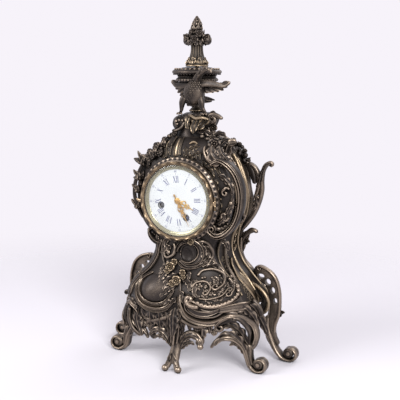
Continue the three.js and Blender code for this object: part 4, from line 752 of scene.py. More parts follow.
for side in (1, -1):
    flank = [
        strap([
            (51, 29, 288), (60, 27, 272), (67, 28, 251), (70.5, 28, 231), (68.5, 29, 214), (58, 30, 190),
            (50, 31, 172), (50, 31, 152), (62, 26, 132), (78, 22, 116), (90, 22, 98), (93, 22, 86),
        ], 0.85, half=2, height=3),
        strap([
            (56, 36, 279), (62, 36, 266), (67.5, 37, 249), (70.5, 38, 230), (67, 39, 205), (57, 41, 184),
            (54, 42, 160), (62, 42, 138), (76, 40, 122), (90, 42, 105), (98, 44, 90),
        ], 0.75, half=1.8, height=2.6),
        strap([
            (44, -6, 288), (56, -6, 272), (65, -4, 251), (68.5, -3, 230), (66, -3, 210), (57, -4, 188),
            (47, -6, 170), (46, -8, 152), (56, -10, 134), (72, -12, 118), (83, -13, 104),
        ], 0.6, half=1.6, height=2),
    ]
    grid_z, grid_y = np.meshgrid(np.arange(192, 218, 3.6), np.arange(8, 26, 3.6))
    grid_y = grid_y + (np.arange(grid_y.shape[1]) % 2) * 1.8
    flank.append(balls(on_flank(grid_y.ravel(), grid_z.ravel()), 1.3, 0.7, 4, 8))
    pick = np.random.default_rng(21)
    strip_z, strip_y = pick.uniform(90, 150, 420), pick.uniform(-2, 17, 420)
    studs = on_flank(strip_y, strip_z) - (0.3, 0, 0)
    flank.append(balls(studs, pick.uniform(0.7, 1.5, 420), 0.35, 4, 8))
    upper_band = [(52, 33, 284), (60, 32, 266), (67, 32, 248), (69.5, 33, 231), (67, 34, 214), (60, 35, 198)]
    flank.append(strap(upper_band, 1.05, "band", 5.6, 1))
    band = on_flank([15, 14, 12.5, 13, 15], [282, 268, 252, 236, 222])
    flank.append(stroke(band, 0.84, "band", 12.5, 2, (1, 0, 0)))
    half = np.array([6, 7.5, 8.5, 8.5, 8.5, 8.5, 8])
    band = on_flank([24, 18, 14, 14, 16, 19, 24], [145, 136, 127, 119, 110, 101, 90], half, 0.26 * half)
    flank.append(stroke(band, 0.84, "band", facing=(1, 0, 0)))
    for start in (8, 24):
        zigzag_z = np.arange(226, 180, -7.5)
        zigzag_y = np.where(np.arange(len(zigzag_z)) % 2, 32 - start, start)
        flank.append(strap(on_flank(zigzag_y, zigzag_z), 0.75, half=1, height=1.8))
    # The leaf and scroll that hang at the lower corner, drawn in a little on the left.
    bow = 0 if side == 1 else 5
    flank += [
        leaf([
            (84 - bow, 26, 112), (94 - bow, 25, 104), (101 - bow, 25, 92), (99 - bow, 25, 78),
            (93 - bow, 26, 71),
        ], 8.5 - 0.5 * bow, 2, 1.6, -0.35, 1, 0.15, 0.8, (1, -0.7, 0)),
        stroke([
            (80, 26, 113, 2, 2.4), (91 - bow, 24, 108, 2.4, 3), (101 - bow, 23, 100, 2.6, 3.2),
            (107 - bow, 23, 88, 2.6, 3.2), (104 - bow, 23, 76, 2.4, 3), (96 - bow, 25, 71, 2, 2.6),
            (91 - bow, 26, 76, 1.6, 2),
        ], 0.8, facing=(1, -0.7, 0)),
        leaf([
            (90, 24, 82), (95, 24, 68), (100, 26, 54), (106, 29, 42),
        ], 5.4, 3, 1.8, 0.15, 0.8, 0.4, 0.7, (1, -0.6, 0)),
    ]
    for z, y in ((206, 35), (199, 35), (192, 35.5), (178, 36), (168, 36), (158, 36)):
        start = case_side(y, z)
        flank.append(leaf(
            [(start, y + 4, z + 4), (start + 1.5, y, z), (start + 1, y - 5, z - 5)], 3, 2, 1.2, 0.1, 0.5,
            0.6, facing=case_normal,
        ))
    hood += flank if side == 1 else [mirrored(p) for p in flank]
piece("hood_and_flanks", hood, rubbed_bronze, "case")

# The rear frame: a cast plate that closes the case behind, screwed to the shell's back edge, open in a
# round behind the movement and again below it for the pendulum.


def ring_through(stops, count):
    """A smooth closed line through the stops: a path run three times round, of which the middle third
    is kept."""
    stops = np.asarray(stops, float)
    flat = np.column_stack([stops[:, 0], np.zeros(len(stops)), stops[:, 1]])
    thrice = through(np.vstack([flat, flat, flat, flat[:1]]), 3 * count + 1)
    return thrice[count : 2 * count][:, [0, 2]]


def slab(outline, front, back, soft):
    """A plate with a closed outline in x and z, its edges rounded by soft: rings stepped inwards at both
    faces, each face filled inside its ring."""
    line = np.asarray(outline, float)
    run = unit(np.roll(line, -1, 0) - np.roll(line, 1, 0))
    area = np.sum(line[:, 0] * np.roll(line[:, 1], -1) - line[:, 1] * np.roll(line[:, 0], -1))
    inward = np.sign(area) * np.column_stack([-run[:, 1], run[:, 0]])
    steps = [(soft, front), (0.3 * soft, front + 0.3 * soft), (0, front + soft)]
    steps += [(0, back - soft), (0.3 * soft, back - 0.3 * soft), (soft, back)]
    rings = np.stack([np.insert(line + inward * step, 1, y, axis=1) for step, y in steps])
    points, quads, _, _ = loft(rings)
    points = points[:-2]
    fill = np.array(tessellate_polygon([[Vector((x, z, 0)) for x, _, z in rings[0]]]))
    tris = np.vstack([fill, fill[:, ::-1] + (len(steps) - 1) * len(line)])
    facing = np.cross(points[tris[0, 1]] - points[tris[0, 0]], points[tris[0, 2]] - points[tris[0, 0]])
    if facing[1] > 0:
        tris = tris[:, ::-1]
    return points, quads, tris, np.zeros(len(points))


def oval(x, z, rx, rz, count):
    """A closed outline in x and z."""
    a = np.linspace(0, 2 * np.pi, count, endpoint=False)
    return np.column_stack([x + rx * np.cos(a), z + rz * np.sin(a)])


frame_half = [
    (0, 318), (22, 313), (39, 304), (53, 290), (62, 276), (67, 262), (69, 247), (71, 235), (74.5, 221),
    (73, 205), (64, 188), (58, 174), (57, 152), (61, 136), (72, 124), (80, 112), (84, 98), (80, 84),
    (60, 80),
]
frame_outline = ring_through(frame_half + [(-x, z) for x, z in frame_half[:0:-1]], 260)
plate = slab(frame_outline, 48.3, 55.3, 1.2)
rear_plate = carve(
    "rear_frame_plate", plate,
    [
        spool(0, DIAL_Z, [(47, 40), (47, 60)], 96),
        slab(ring_through([
            (0, 88), (40, 90), (58, 100), (50, 118), (36, 136), (28, 156), (0, 166), (-28, 156), (-36, 136),
            (-50, 118), (-58, 100), (-40, 90),
        ], 120), 40, 60, 0.5),
    ],
)
place(rear_plate, points_of(rear_plate))
settle(rear_plate, "rear_frame_plate", bronze, "case", ["rear_frame"])

# The scrolled arms of the frame, an acanthus leaf hooked out at its waist, and leaves with a cluster of
# berries behind each upper corner; the left side mirrors the right.
arm_y = 50.5
arms = [
    bar(curled([
        (58, 272, 2.4, 4), (66, 273, 3, 4.5), (75, 268, 3.4, 4.5), (81, 257, 3.6, 4.5), (82, 244, 3.4, 4.5),
        (78, 229, 3, 4.5),
    ], arm_y, 4, 1, 1, True), 0.6),
    bar(curled([
        (56, 178, 2.4, 4), (65, 189, 3, 4.5), (75, 204, 3.4, 4.5), (82, 220, 3.4, 4.5), (86, 236, 3.2, 4.5),
        (86, 250, 3, 4.5), (87.5, 263, 3, 4.5), (91.5, 271.5, 3.2, 4.5), (97, 275, 3, 4),
    ], arm_y, 2.6, 0.9, -1), 0.6),
    leaf([(80, 47, 236), (84, 46, 250), (87, 45, 262), (92, 45, 270)], 4.2, 4, 1.4, 0.1, 1.5, 0.4),
    bar(at_depth([
        (63, 275, 2.6, 3.6), (69, 267, 4.6, 4), (73.5, 256, 4.4, 4), (76, 245, 2.6, 3.6),
    ], 50.5), 0.35),
    leaf([
        (77, 46, 232), (80, 45, 225), (79, 45, 217), (75, 46, 209),
    ], 4, 3, 1.8, 0.15, 1, 0.55, facing=(0.2, -1, 0)),
    leaf([(58, 50, 146), (58, 50, 160), (64, 50, 173), (73, 49, 180), (82, 49, 178)], 6, 3, 2, 0.05, 0.5),
    bar(at_depth([
        (58, 148, 1.4, 3), (58, 162, 2.6, 4), (65, 174, 3, 4), (74, 180, 3, 4), (81, 177.5, 2.4, 3),
    ], 50.5), 0.5),
    leaf([(61, 50, 158), (66, 49, 164), (70, 49, 163)], 3.2, 2, 1.6, 0.05, 0.5),
    bar(at_depth([(37, 304, 1, 3), (46, 298, 2.2, 4), (56, 288, 2.8, 4.4), (64, 275, 2.4, 4)], 50), 0.45),
    bar(at_depth([
        (80, 84, 2, 4), (85.5, 98, 2.6, 4.4), (81, 113, 2.6, 4.4), (72, 126, 2.4, 4), (61, 138, 2.2, 4),
        (57, 152, 2, 4), (58, 170, 2, 4),
    ], 50), 0.75),
]
cluster = np.array([
    (53, 38, 294), (57, 40, 287.5), (65, 42, 285), (63, 42, 278), (59, 44, 296), (49, 44, 300),
    (67, 46, 277),
])
arms.append(balls(cluster, [3.4, 3, 3.4, 3, 2.8, 3.4, 2.8], 0.3, 7, 12))
for x, z, dx, dz in ((44, 300, 5, 6), (51, 296, 7, 4), (58, 289, 8, 2), (64, 280, 7, -2)):
    arms.append(leaf([
        (x, 45, z), (x + dx * 0.6, 43, z + dz * 0.8), (x + dx, 45, z + dz),
    ], 5, 3, 1.6, 0.2, 1.2, 0.4, facing=(0.3, -1, 0.2)))
piece("rear_frame_scrolls", arms + [mirrored(p) for p in arms], bronze, "case")

# The rear legs: each a pierced wing of cast bronze that springs from the lower corner of the rear frame
# and runs down a slender shank into a rolled foot. A raised rim follows its outer edge, and leaves and a
# small curl stand out beside the shank.
wing_line = [
    (86, 104), (82, 113), (78, 122), (80, 130), (88, 132), (99, 127), (109, 117), (115, 100), (117, 82),
    (115.5, 62), (110, 46), (112, 32), (116, 22), (108, 17), (101, 22), (96, 34), (98, 52), (100, 70),
    (96, 88),
]
wing_holes = [(88.5, 117.5, 5.2, 3.4), (99, 110, 4.2, 4.6), (106.2, 98.5, 3.3, 4.8), (110, 84, 3.0, 4.3)]
wing_tools = [slab(oval(*hole, 28), 40, 60, 0.2) for hole in wing_holes]
wing_mesh = carve("rear_leg_wing", slab(ring_through(wing_line, 200), 44, 52, 1.3), wing_tools)
wing_points = points_of(wing_mesh)
ROLL_Z = 12.4
shank = [
    (99, 62, 3.4, 4.5), (99, 46, 4, 5), (104, 30, 4.4, 6.5), (112, 15, 4, 8), (121, 5.5, 3.2, 9),
    (131, 2.6, 2.5, 9),
]
rear_leg = [
    bar(curled(shank, 46.3, 9.8, 1.3, 1), 0.68),
    spool(131, ROLL_Z, [(3, 39), (5.5, 39.5), (7.2, 41), (7.2, 52), (5.5, 53.5), (3, 54)], 32, 0.4),
    spool(
        131.5, ROLL_Z, [(0.6, 37.6), (2.6, 38.2), (3.4, 40), (3.4, 52.6), (2.6, 54.4), (0.6, 55)], 24, 0.8,
    ),
    stroke(curled([
        (88, 131.5, 1.6, 2.4), (100, 127, 2, 3), (110, 117, 2.2, 3), (115.5, 101, 2.2, 3), (117, 83, 2, 3),
        (116, 66, 2, 3), (111, 50, 1.8, 2.6), (110, 38, 1.4, 2),
    ], 43.6, 3.4, 1.1, 1, True), 0.95, sink=3),
    stroke(at_depth([
        (86, 108, 1.2, 1.6), (96, 100, 1.6, 2), (101, 86, 1.6, 2), (102, 70, 1.6, 2), (99, 54, 1.4, 2),
    ], 43.8), 0.6, sink=3),
    leaf([(113, 46, 60), (119, 46, 68), (124, 46, 69)], 3.4, 2, 1.8, 0.05, 0.5),
    leaf([(82, 43, 115), (89, 42.5, 110), (96, 42.5, 101), (101, 43, 90)], 2.4, 3, 1, 0.05, 0.3),
]
left_curl = bar(curled([(113, 57, 1.6, 2.6), (119, 65, 2.2, 3), (124.5, 69, 2.2, 3)], 46, 3, 1, -1), 0.35)
for sign, side in ((1, "right"), (-1, "left")):
    scrolls = rear_leg if sign == 1 else [mirrored(p) for p in [*rear_leg, left_curl]]
    piece(f"rear_leg_{side}_scrolls", scrolls, bronze, "case")
    name = f"rear_leg_{side}_wing"
    wing = wing_mesh.copy()
    wing.name = name
    place(wing, wing_points * (sign, 1, 1))
    if sign == -1:
        wing.flip_normals()
    settle(wing, name, bronze, "case", [f"rear_leg_{side}"])

# The front legs: bronze castings of their own, fixed under the lower rim of the case. Each is a C-scroll
# that arches out from under the cushion, with straps and acanthus leaves turned back inside it and hung
# outside it, and a shank that ends in a rolled foot.
arch = [
    (57, 68, 2.6, 5), (64, 76, 3.4, 6), (76, 81, 4, 6.5), (90, 76, 4.2, 6.5), (101, 65, 4.2, 6.5),
    (106, 51, 4, 6.5), (102.5, 39, 3.6, 6), (97, 31, 2.6, 5),
]
arch_line = curl(arch, 5.4, 1.1, 1, True)
arch_y = np.interp(arch_line[:, 0], [46, 62, 76, 90, 101], [-37, -36, -30, -18, -8])
shank = [
    (47, 33, 1.6, 2.6), (54, 43, 3, 4), (66, 48.5, 4, 5), (78, 45, 4.6, 5.5), (87, 35, 4.6, 6),
    (91, 22, 4.2, 7), (95, 9, 3.6, 8), (102, 3.6, 3, 9), (107, 2.6, 2.5, 9),
]
shank_line = curl(shank, 9.8, 1.3, 1)
shank_y = np.interp(shank_line[:, 0], [47, 66, 86, 95], [-34, -28, -14, -10])
front_leg = [
    bar(at_depth(arch_line, arch_y), 0.6),
    stroke(at_depth(arch_line[8:-1] * (1, 1, 0.35, 0.35), arch_y[8:-1] - 6), 0.95, sink=2),
    bar(at_depth(shank_line, shank_y), 0.62),
    stroke(at_depth(shank_line[2:7] * (1, 1, 0.35, 0.35), shank_y[2:7] - 6), 0.95, sink=2),
    spool(107, ROLL_Z, [(3, -17), (5.5, -16.5), (7.2, -15), (7.2, -5), (5.5, -3.5), (3, -3)], 32, 0.5),
    spool(
        107.5, ROLL_Z, [(0.6, -18.8), (2.6, -18.2), (3.4, -16), (3.4, -4), (2.6, -1.8), (0.6, -1.2)], 24,
        0.9,
    ),
    leaf([
        (96, -14, 36), (89, -18, 52), (79.5, -25, 64), (68, -31, 67), (58, -35, 62), (54, -36, 56.5),
    ], 6.5, 5, 2.2, 0.2, 2.5, 0.6, facing=(0, -1, 0.1)),
    leaf([
        (93, -16, 26), (86, -20, 42), (76, -25, 51), (66, -30, 52), (58, -33, 46), (54, -35, 38),
    ], 7.6, 5, 2.4, 0.2, 3, 0.6, facing=(0, -1, 0.1)),
    leaf([(90, -16, 22), (85, -20, 34), (78, -24, 41), (71, -27, 38.5)], 5.2, 4, 2, 0.2, 2, 0.6),
    leaf([
        (92, -10, 74), (98, -12, 60), (101, -13, 46), (96, -13, 32),
    ], 3.6, 4, 1.4, 0.2, 0.5, 0.6, facing=(0.5, -1, 0)),
    leaf([
        (93, -2, 90), (98.5, 3, 84), (103.5, 8, 71.5), (108, 12, 60), (112.5, 15, 47), (114, 16, 42),
    ], 7, 5, 1.8, 0.15, 0.5, 0.45, facing=(0.5, -0.85, 0)),
    bar([
        (78, -34, 78.5, 2.8, 4), (87, -28, 77, 3, 4.5), (95, -22, 68.5, 3, 4.5),
        (99.5, -17, 57.5, 2.8, 4.5), (98, -13, 45.5, 2.6, 4), (95, -11, 37, 2, 3.5),
    ], 0.42),
    bar([
        (97, -11, 40, 2.6, 5), (96, -11, 31, 3.6, 6), (95, -11, 23, 3.8, 6.5), (96.5, -10, 15, 3.4, 6.5),
        (99.5, -10, 9, 2.4, 6),
    ], 0.6),
    bar([
        (66, -24, 88, 4, 5), (76, -22, 85, 5, 6), (86, -16, 78, 5, 6), (92, -12, 70, 4, 5),
    ], 0.5, (0.3, -1, 0)),
    bar([(60, -28, 82, 3, 4), (72, -30, 84, 4, 5), (84, -24, 82, 4, 5)], 0.5, (0, -1, 0.3)),
    bar([
        (92, 8, 94, 3, 4), (97.5, 9, 89.5, 4, 5), (103, 10, 81, 4, 5), (106, 11, 70, 3, 4),
    ], 0.45, (0.5, -0.85, 0)),
    leaf([
        (87, -18, 92), (94, -13, 85), (100, -9, 76.5), (104, -7, 68), (107, -6, 59),
    ], 7, 3, 2, 0.15, 0.5, 0.6, facing=(0.6, -0.8, 0.2)),
    bar([(60, -34, 68, 2, 4), (69, -33, 74, 3, 4), (77, -32, 76, 3, 4), (84, -29, 74, 2, 4)], 0.3),
    rosette((54, -39, 58), 5, (-0.2, -1, 0.1), 5, 3, 0.8),
]


def drawn_in(patch, most):
    """The same patch with its high outer part brought nearer the middle by most, times a rise over x from
    70 to 96 and a rise over z from 24 to 44."""
    points, *rest = patch
    share = np.clip((np.abs(points[:, 0]) - 70) / 26, 0, 1) * np.clip((points[:, 2] - 24) / 20, 0, 1)
    shift = np.sign(points[:, 0]) * most * share
    return points - np.column_stack([shift, 0 * share, 0 * share]), *rest


piece("front_leg_right_scrolls", [drawn_in(p, 3.5) for p in front_leg], bronze, "case", ["front_leg_right"])
piece(
    "front_leg_left_scrolls", [mirrored(drawn_in(p, 7.5)) for p in front_leg], bronze, "case",
    ["front_leg_left"],
)

# The middle foot: a fluted shin under the front of the case that spreads into two toes, with an
# acanthus branch turned over on each side of it.
shin_line = [
    (2, -46, 84, 11, 6), (3, -45, 68, 8.8, 6), (3, -44, 52, 7.6, 6), (2, -45, 36, 7.0, 6),
    (1, -49, 24, 7.2, 5.6), (0, -53, 15, 8.0, 4.8), (0, -54, 10, 5.0, 4),
]
branch = [(5, 34, 3.6, 4.4), (10, 46, 3.8, 4.6), (20, 54, 3.8, 4.6), (31, 54, 3.6, 4.4), (38, 47, 3.4, 4.2)]
branch_line = curl(branch, 4.6, 0.9, -1)
centre_foot = [
    bar(shin_line, 0.62),
    stroke([(0, -53, 82), (1, -52, 66), (1, -51, 50), (0, -52, 36)], 1, half=1.6, height=2.4),
    stroke([(7, -52, 80), (8, -51, 66), (7, -50, 52), (5, -51, 38)], 0.7, half=1.4, height=2),
    stroke([(-5, -52, 80), (-4.5, -51, 66), (-4, -50, 52), (-3, -51, 38)], 0.7, half=1.4, height=2),
    bar(at_depth(branch_line, -45), 0.6), bar(at_depth(branch_line[:-2] * (-0.92, 1, 1, 1), -44), 0.5),
    leaf([
        (6, -49, 30), (12, -50, 44), (22, -51, 52), (33, -51, 51), (40, -50, 42),
    ], 5.5, 5, 2, 0.2, 1.5, 0.6),
    leaf([(8, -48, 30), (15, -49, 38), (23, -50, 43), (31, -50, 41)], 4.5, 4, 1.8, 0.2, 1.5, 0.6),
    leaf([
        (-5, -49, 32), (-11, -50, 46), (-20, -51, 53), (-30, -50, 52), (-37, -49, 44),
    ], 5.5, 5, 2, 0.2, 1.5, 0.6),
    leaf([(-6, -48, 34), (-13, -49, 42), (-21, -50, 46), (-28, -49, 43)], 4.5, 4, 1.8, 0.2, 1.5, 0.6),
    ball((37, -46, 37.5), 4.4, 1, 9, 16),
    leaf([
        (4, -53, 92), (3, -57, 78), (2, -56, 62), (1, -56, 50),
    ], 7.5, 4, 2.2, 0.25, 1.5, 0.38, 0.6, (0, -1, 0.1)),
    leaf([
        (8, -52, 88), (11, -54, 74), (13, -51, 62), (11, -49, 52),
    ], 5.5, 4, 2, 0.25, 1.5, 0.38, 0.6, (0.2, -1, 0.1)),
    leaf([
        (-2, -52, 88), (-6, -54, 74), (-9, -51, 62), (-7, -50, 50),
    ], 5.5, 4, 2, 0.25, 1.5, 0.38, 0.6, (-0.2, -1, 0.1)),
]
for side in (1, -1):
    toe = [
        (side * 2, -51, 20, 3.4, 4), (side * 4.4, -53, 13, 3.6, 4.4), (side * 7.4, -56, 6.8, 3.8, 4.4),
        (side * 9.6, -57, 4.8, 3.2, 4),
    ]
    centre_foot.append(bar(toe, 0.75))
    centre_foot.append(ball((side * 9.5, -57.6, 4.9), 4.9, 0.95, 9, 16))
    centre_foot.append(leaf([
        (side * 2, -56, 26), (side * 5, -59, 16), (side * 8, -61, 9),
    ], 2.6, 2, 1.2, 0.2, 0.5, 0.6, facing=(0, -1, 0.2)))
piece("centre_foot_shin", centre_foot, bronze, "case", ["front_foot_centre"])

# The aprons: pierced leafwork hung between the feet under the front rim of the case and reaching inwards
# to the middle foot. On the left a fringe of five leaves hangs over it from the rim.
apron_right = [
    leaf([(38, -43, 74), (39, -44, 62), (38, -43, 46)], 8, 3, 2, 0.2, 1, 0.6),
    leaf([(32, -44, 74), (29, -45, 64), (30, -44, 54)], 5, 3, 1.8, 0.2, 1, 0.6),
    leaf([(44, -42, 74), (48, -42, 66), (48, -41, 56)], 5, 3, 1.8, 0.2, 1, 0.6),
    leaf([(22, -45, 80), (20, -46, 68), (22, -45, 57)], 5, 3, 1.8, 0.2, 1, 0.6),
    bar([(8, -44, 76, 3, 4), (20, -45, 72, 3, 4), (32, -44, 70, 3, 4), (43, -41, 72, 3, 4)], 0.5),
    stroke([(30, -48, 66), (38, -49, 67.5), (46, -46, 66)], 0.7, half=1.6, height=2),
    rosette((38, -46, 68), 5, (0, -1, 0), 6, 3, 0.75), ball((38, -44, 45), 2.6, 0.8),
]
apron_left = [mirrored(p) for p in apron_right] + [
    leaf([(-54, -41, 84), (-59, -44, 66), (-57, -43, 52), (-52, -42, 39)], 7, 4, 2.2, 0.2, 2, 0.45),
    leaf([(-41, -43, 84), (-38, -46, 68), (-32, -46, 56), (-32, -45, 42)], 7, 4, 2.2, 0.2, 2, 0.45),
    leaf([(-26, -45, 84), (-20, -48, 68), (-17, -48, 56), (-23, -47, 41)], 6.6, 4, 2.2, 0.2, 2, 0.45),
    leaf([(-12, -46, 82), (-9, -49, 68), (-8, -48, 58), (-12, -47, 48)], 5, 3, 2, 0.2, 1.5, 0.45),
    *(
        leaf(upon([
            (x, 82), (x + lean, 75), (x + 1.5 * lean, 63), (x + 2 * lean, 48),
        ], 1.6), 7.2, 3, 2.4, 0.2, 2, 0.42, 0.7, case_normal)
        for x, lean in ((-57, -2.5), (-45, -1.5), (-33, -0.6), (-21, 0.6), (-10, 1.5))
    ),
    leaf([
        (-72, -34, 76), (-72, -36, 62), (-66, -37, 50), (-56, -36, 42),
    ], 5.5, 4, 2, 0.2, 1.5, 0.6, facing=(-0.2, -1, 0)),
    leaf([
        (-62, -38, 76), (-60, -40, 62), (-54, -41, 50), (-46, -40, 42),
    ], 5.5, 4, 2, 0.2, 1.5, 0.6, facing=(-0.1, -1, 0)),
    leaf([(-52, -42, 72), (-48, -43, 60), (-40, -43, 52)], 5, 4, 2, 0.2, 1.5, 0.6),
    bar(curled([
        (-73, 76, 2.4, 4), (-74, 61, 2.8, 4), (-69, 47, 3, 4), (-60, 40, 3, 4),
    ], -38, 5, 1, 1), 0.55),
    bar([(-70, -34, 80, 3, 4), (-58, -38, 76, 3, 4), (-46, -41, 73, 3, 4)], 0.5),
]
piece("apron_right_leaves", apron_right, bronze, "case", ["apron_right"])
piece("apron_left_leaves", apron_left, bronze, "case", ["apron_left"])

# The garland: sprays of leaves and a few open flowers cast in one and pinned to the left of the drum,
# from the lower curve of the bezel up to the crest.
stem = [
    (-58, -22, 200), (-66, -23, 214), (-71, -24, 230), (-70, -24, 248), (-64, -23, 264), (-55, -21, 280),
    (-42, -18, 295), (-27, -12, 307),
]
garland = [bar(stem, 0.35, case_normal, 2.2, 2.6)]
for root, tips in (
    ((-58, -22, 270), ((-65, 292, 4.2), (-71.5, 281, 4.6), (-57, 285, 3.6))),
    ((-62, -23, 250), ((-71.5, 266, 4.8), (-72, 255, 3.8), (-64, 264, 3.6))),
    ((-64, -23, 234), ((-74, 246, 4.6), (-72, 236, 3.6), (-66, 244, 3.2))),
    ((-64, -22, 211), ((-76, 225, 5.2), (-72, 214, 4.0), (-66, 222, 3.2))),
    ((-45, -20, 283), ((-49, 293, 5.6), (-41, 296, 5.2), (-55, 287, 4.0))),
    ((-34, -17, 295), ((-37, 304, 5.6), (-28, 308, 5.2), (-43, 300, 4.6))),
):
    x, y, z = root
    for n, (tx, tz, half) in enumerate(tips):
        bow = (0.0, 2.0, -2.0)[n]
        middle = ((x + tx) / 2 + bow * 0.6, y - 3.0 - n, (z + tz) / 2 + bow)
        garland.append(leaf([
            (x + 1, y + 1, z), middle, (tx, y - 1 + n, tz),
        ], half, 2, 1.8, 0.3, 1.8, 0.36, 0.6, (-0.4, -1, 0.1)))
        garland.append(bar([
            (x, y, z), (middle[0], middle[1] - 0.8, middle[2]), (tx, y - 2 + n, tz),
        ], 0.5, half=0.8, height=1.2))
for x, y, z, size, petals in (
    (-40, -19, 298, 6.4, 5), (-50, -19, 290, 5.6, 5), (-30, -14, 306, 6.0, 5), (-32, -23, 291, 6.0, 6),
    (-43, -24, 286, 5.0, 5),
):
    garland.append(rosette((x, y, z), size, (-0.5, -1, 0.35), petals, size * 0.55, 0.35))
garland.append(stroke([
    (-50, -22, 186, 1.6, 2.4), (-48, -24, 179, 2.6, 3.4), (-43, -25, 173, 3, 3.8),
    (-36, -26, 169, 2.8, 3.6), (-29, -27, 168, 2, 3),
], 0.45, "band", facing=(-0.5, -1, -0.2)))
garland.append(ball((-50, -21, 184), 3.4, 0.45))
for x, z in ((-52, 272), (-48, 280), (-42, 287), (-62, 256), (-66, 244), (-20, 300)):
    y = case_front(x, z)
    garland.append(leaf([
        (x, y - 1, z - 5), (x + 1, y - 3, z + 2), (x + 4, y - 2, z + 9),
    ], 3.6, 3, 1.2, 0.2, 1, 0.3, 0.6, (-0.3, -1, 0.2)))
for x, z, dx, dz in (
    (-45, 194, -3, -8), (-44, 182, -1, -9), (-36, 180, 0, -10), (-34, 166, 2, -9), (-28, 186, 5, -7),
    (-52, 202, -3, -7),
):
    garland.append(leaf(upon([
        (x, z), (x + 0.5 * dx, z + 0.5 * dz), (x + dx, z + dz),
    ], 1.5), 4.2, 3, 1.4, 0.2, 1.2, 0.5, 0.7, case_normal))
piece("flower_garland_sprays", garland, bronze, "case", ["flower_garland"])

# The great acanthus scroll: one casting at the right of the drum, a leaf turned over at the top, a long
# rubbed strap round the bezel and a volute below, with smaller leaves in the hollow between.
scroll_line = curl([
    (44, 279, 2.4, 3.6), (54, 284, 3, 4.4), (66, 278, 3.6, 5), (75, 266, 3.8, 5), (80.5, 249, 3.6, 5),
    (81.5, 232, 3.4, 5), (79, 215, 3.4, 5), (73, 200, 3.6, 5), (63, 189, 4, 5), (52, 185, 4, 5),
    (44, 189, 3.6, 4.4),
], 6.0, 0.95, -1)
scroll_y = np.interp(scroll_line[:, 0], [30, 45, 62, 72, 82], [-29, -28, -26, -23, -19])
acanthus = [
    stroke(at_depth(scroll_line, scroll_y), 0.9, "band", sink=4),
    bar(at_depth(scroll_line[:11] * (1, 1, 0.9, 1.4) + (2.6, 1.5, 0, 0), scroll_y[:11] + 3), 0.35),
    stroke(at_depth([
        (34, 303, 1.2, 2), (33, 295, 2, 3), (37, 286, 2.4, 3.4), (45, 281, 2.6, 3.6), (54, 283, 2.2, 3),
    ], -24), 0.85, sink=3),
    leaf([
        (42, -22, 304), (44, -27, 294), (50, -28, 286), (59, -26, 284), (68, -22, 276),
    ], 9, 5, 1.8, 0.15, 1, 0.55, 0.6, (0.2, -1, 0.1)),
    leaf([
        (52, -20, 302), (57, -24, 294), (64, -24, 286), (71, -20, 274),
    ], 6, 5, 1.6, 0.2, 1, 0.55, 0.6, (0.4, -1, 0.2)),
    leaf([
        (60, -14, 292), (68, -14, 280), (75, -12, 266), (79, -10, 250),
    ], 4.6, 5, 1.6, 0.2, 1, 0.5, 0.6, (0.8, -1, 0.2)),
    leaf([
        (52, -4, 286), (56, -6, 296), (61, -8, 305), (70, -6, 307),
    ], 7.5, 2, 2, 0.35, 1.5, 0.6, 0.6, (-0.2, -1, -0.2)),
    bar([
        (52, 0, 284, 2, 3), (54, -2, 296, 2.4, 3), (57, -4, 305, 2.6, 3), (63, -4, 308.5, 3.4, 3),
        (69, -2, 307.5, 2, 2.4),
    ], 0.6),
    leaf([(52, -25, 266), (62, -26, 262), (70, -25, 252), (73, -23, 240)], 5, 4, 1.6, 0.2, 1.5, 0.45, 0.6),
    leaf([(60, -26, 208), (66, -27, 216), (71, -25, 227), (73, -23, 238)], 4.6, 4, 1.6, 0.2, 1.5, 0.5, 0.6),
    leaf([(50, -27, 202), (58, -29, 206), (65, -28, 214)], 5, 3, 1.6, 0.2, 1.5, 0.5, 0.6),
    leaf([(72, -22, 206), (66, -26, 198), (58, -27, 194), (51, -28, 196)], 4.4, 4, 1.6, 0.2, 1.5, 0.6, 0.6),
    leaf([(56, -26, 182), (64, -24, 176), (66, -20, 166)], 4.2, 3, 1.6, 0.2, 1.5, 0.5, 0.6, (0.4, -1, 0)),
    leaf([(78, -16, 222), (84, -14, 212), (78, -13, 202)], 3.4, 3, 1.4, 0.2, 1, 0.6, 0.6, (0.6, -1, 0)),
    stroke(curled([(70, 248, 1.6, 2.4), (65, 250, 2, 3), (60, 246, 2, 3)], -25, 4, 1, 1), 0.8, sink=3),
    stroke(curled([(70, 212, 1.6, 2.4), (65, 207, 2, 3), (60, 210, 2, 3)], -26, 4, 1, -1), 0.85, sink=3),
    ball((70.5, -24, 230), 3, 1), rosette((45, -18, 305), 8.4, (0.1, -1, 0.3), 6, 4.5, 0.5),
    leaf([
        (40, -12, 310), (45, -12, 317), (52, -10, 318), (56, -8, 314),
    ], 5, 3, 1.8, 0.25, 1.2, 0.35, 0.6, (0.2, -1, 0.4)),
    leaf([
        (49, -12, 300), (54, -10, 307), (59, -6, 309), (63, -3, 304),
    ], 6, 3, 1.8, 0.25, 1.2, 0.35, 0.6, (0.4, -1, 0.4)),
    leaf([
        (48, -6, 306), (52, 0, 306), (58, 8, 300), (62, 14, 292),
    ], 6, 4, 1.8, 0.2, 1.2, 0.35, 0.7, (0.7, -0.6, 0.6)),
    leaf([
        (44, -2, 311), (46, 6, 309), (50, 16, 304), (54, 26, 297),
    ], 6, 4, 1.8, 0.2, 1.2, 0.35, 0.7, (0.7, -0.5, 0.7)),
    stroke(at_depth(scroll_line * (1, 1, 0.28, 0.3), scroll_y - 5.2), 1.05, sink=2),
    rosette((40, -14, 312), 5, (0, -1, 0.4), 5, 3.2, 0.5),
    rosette((77, -15, 225), 4.5, (0.7, -1, 0), 5, 2.6, 0.8),
]
piece("acanthus_scroll_leaf", acanthus, bronze, "case", ["acanthus_scroll"])

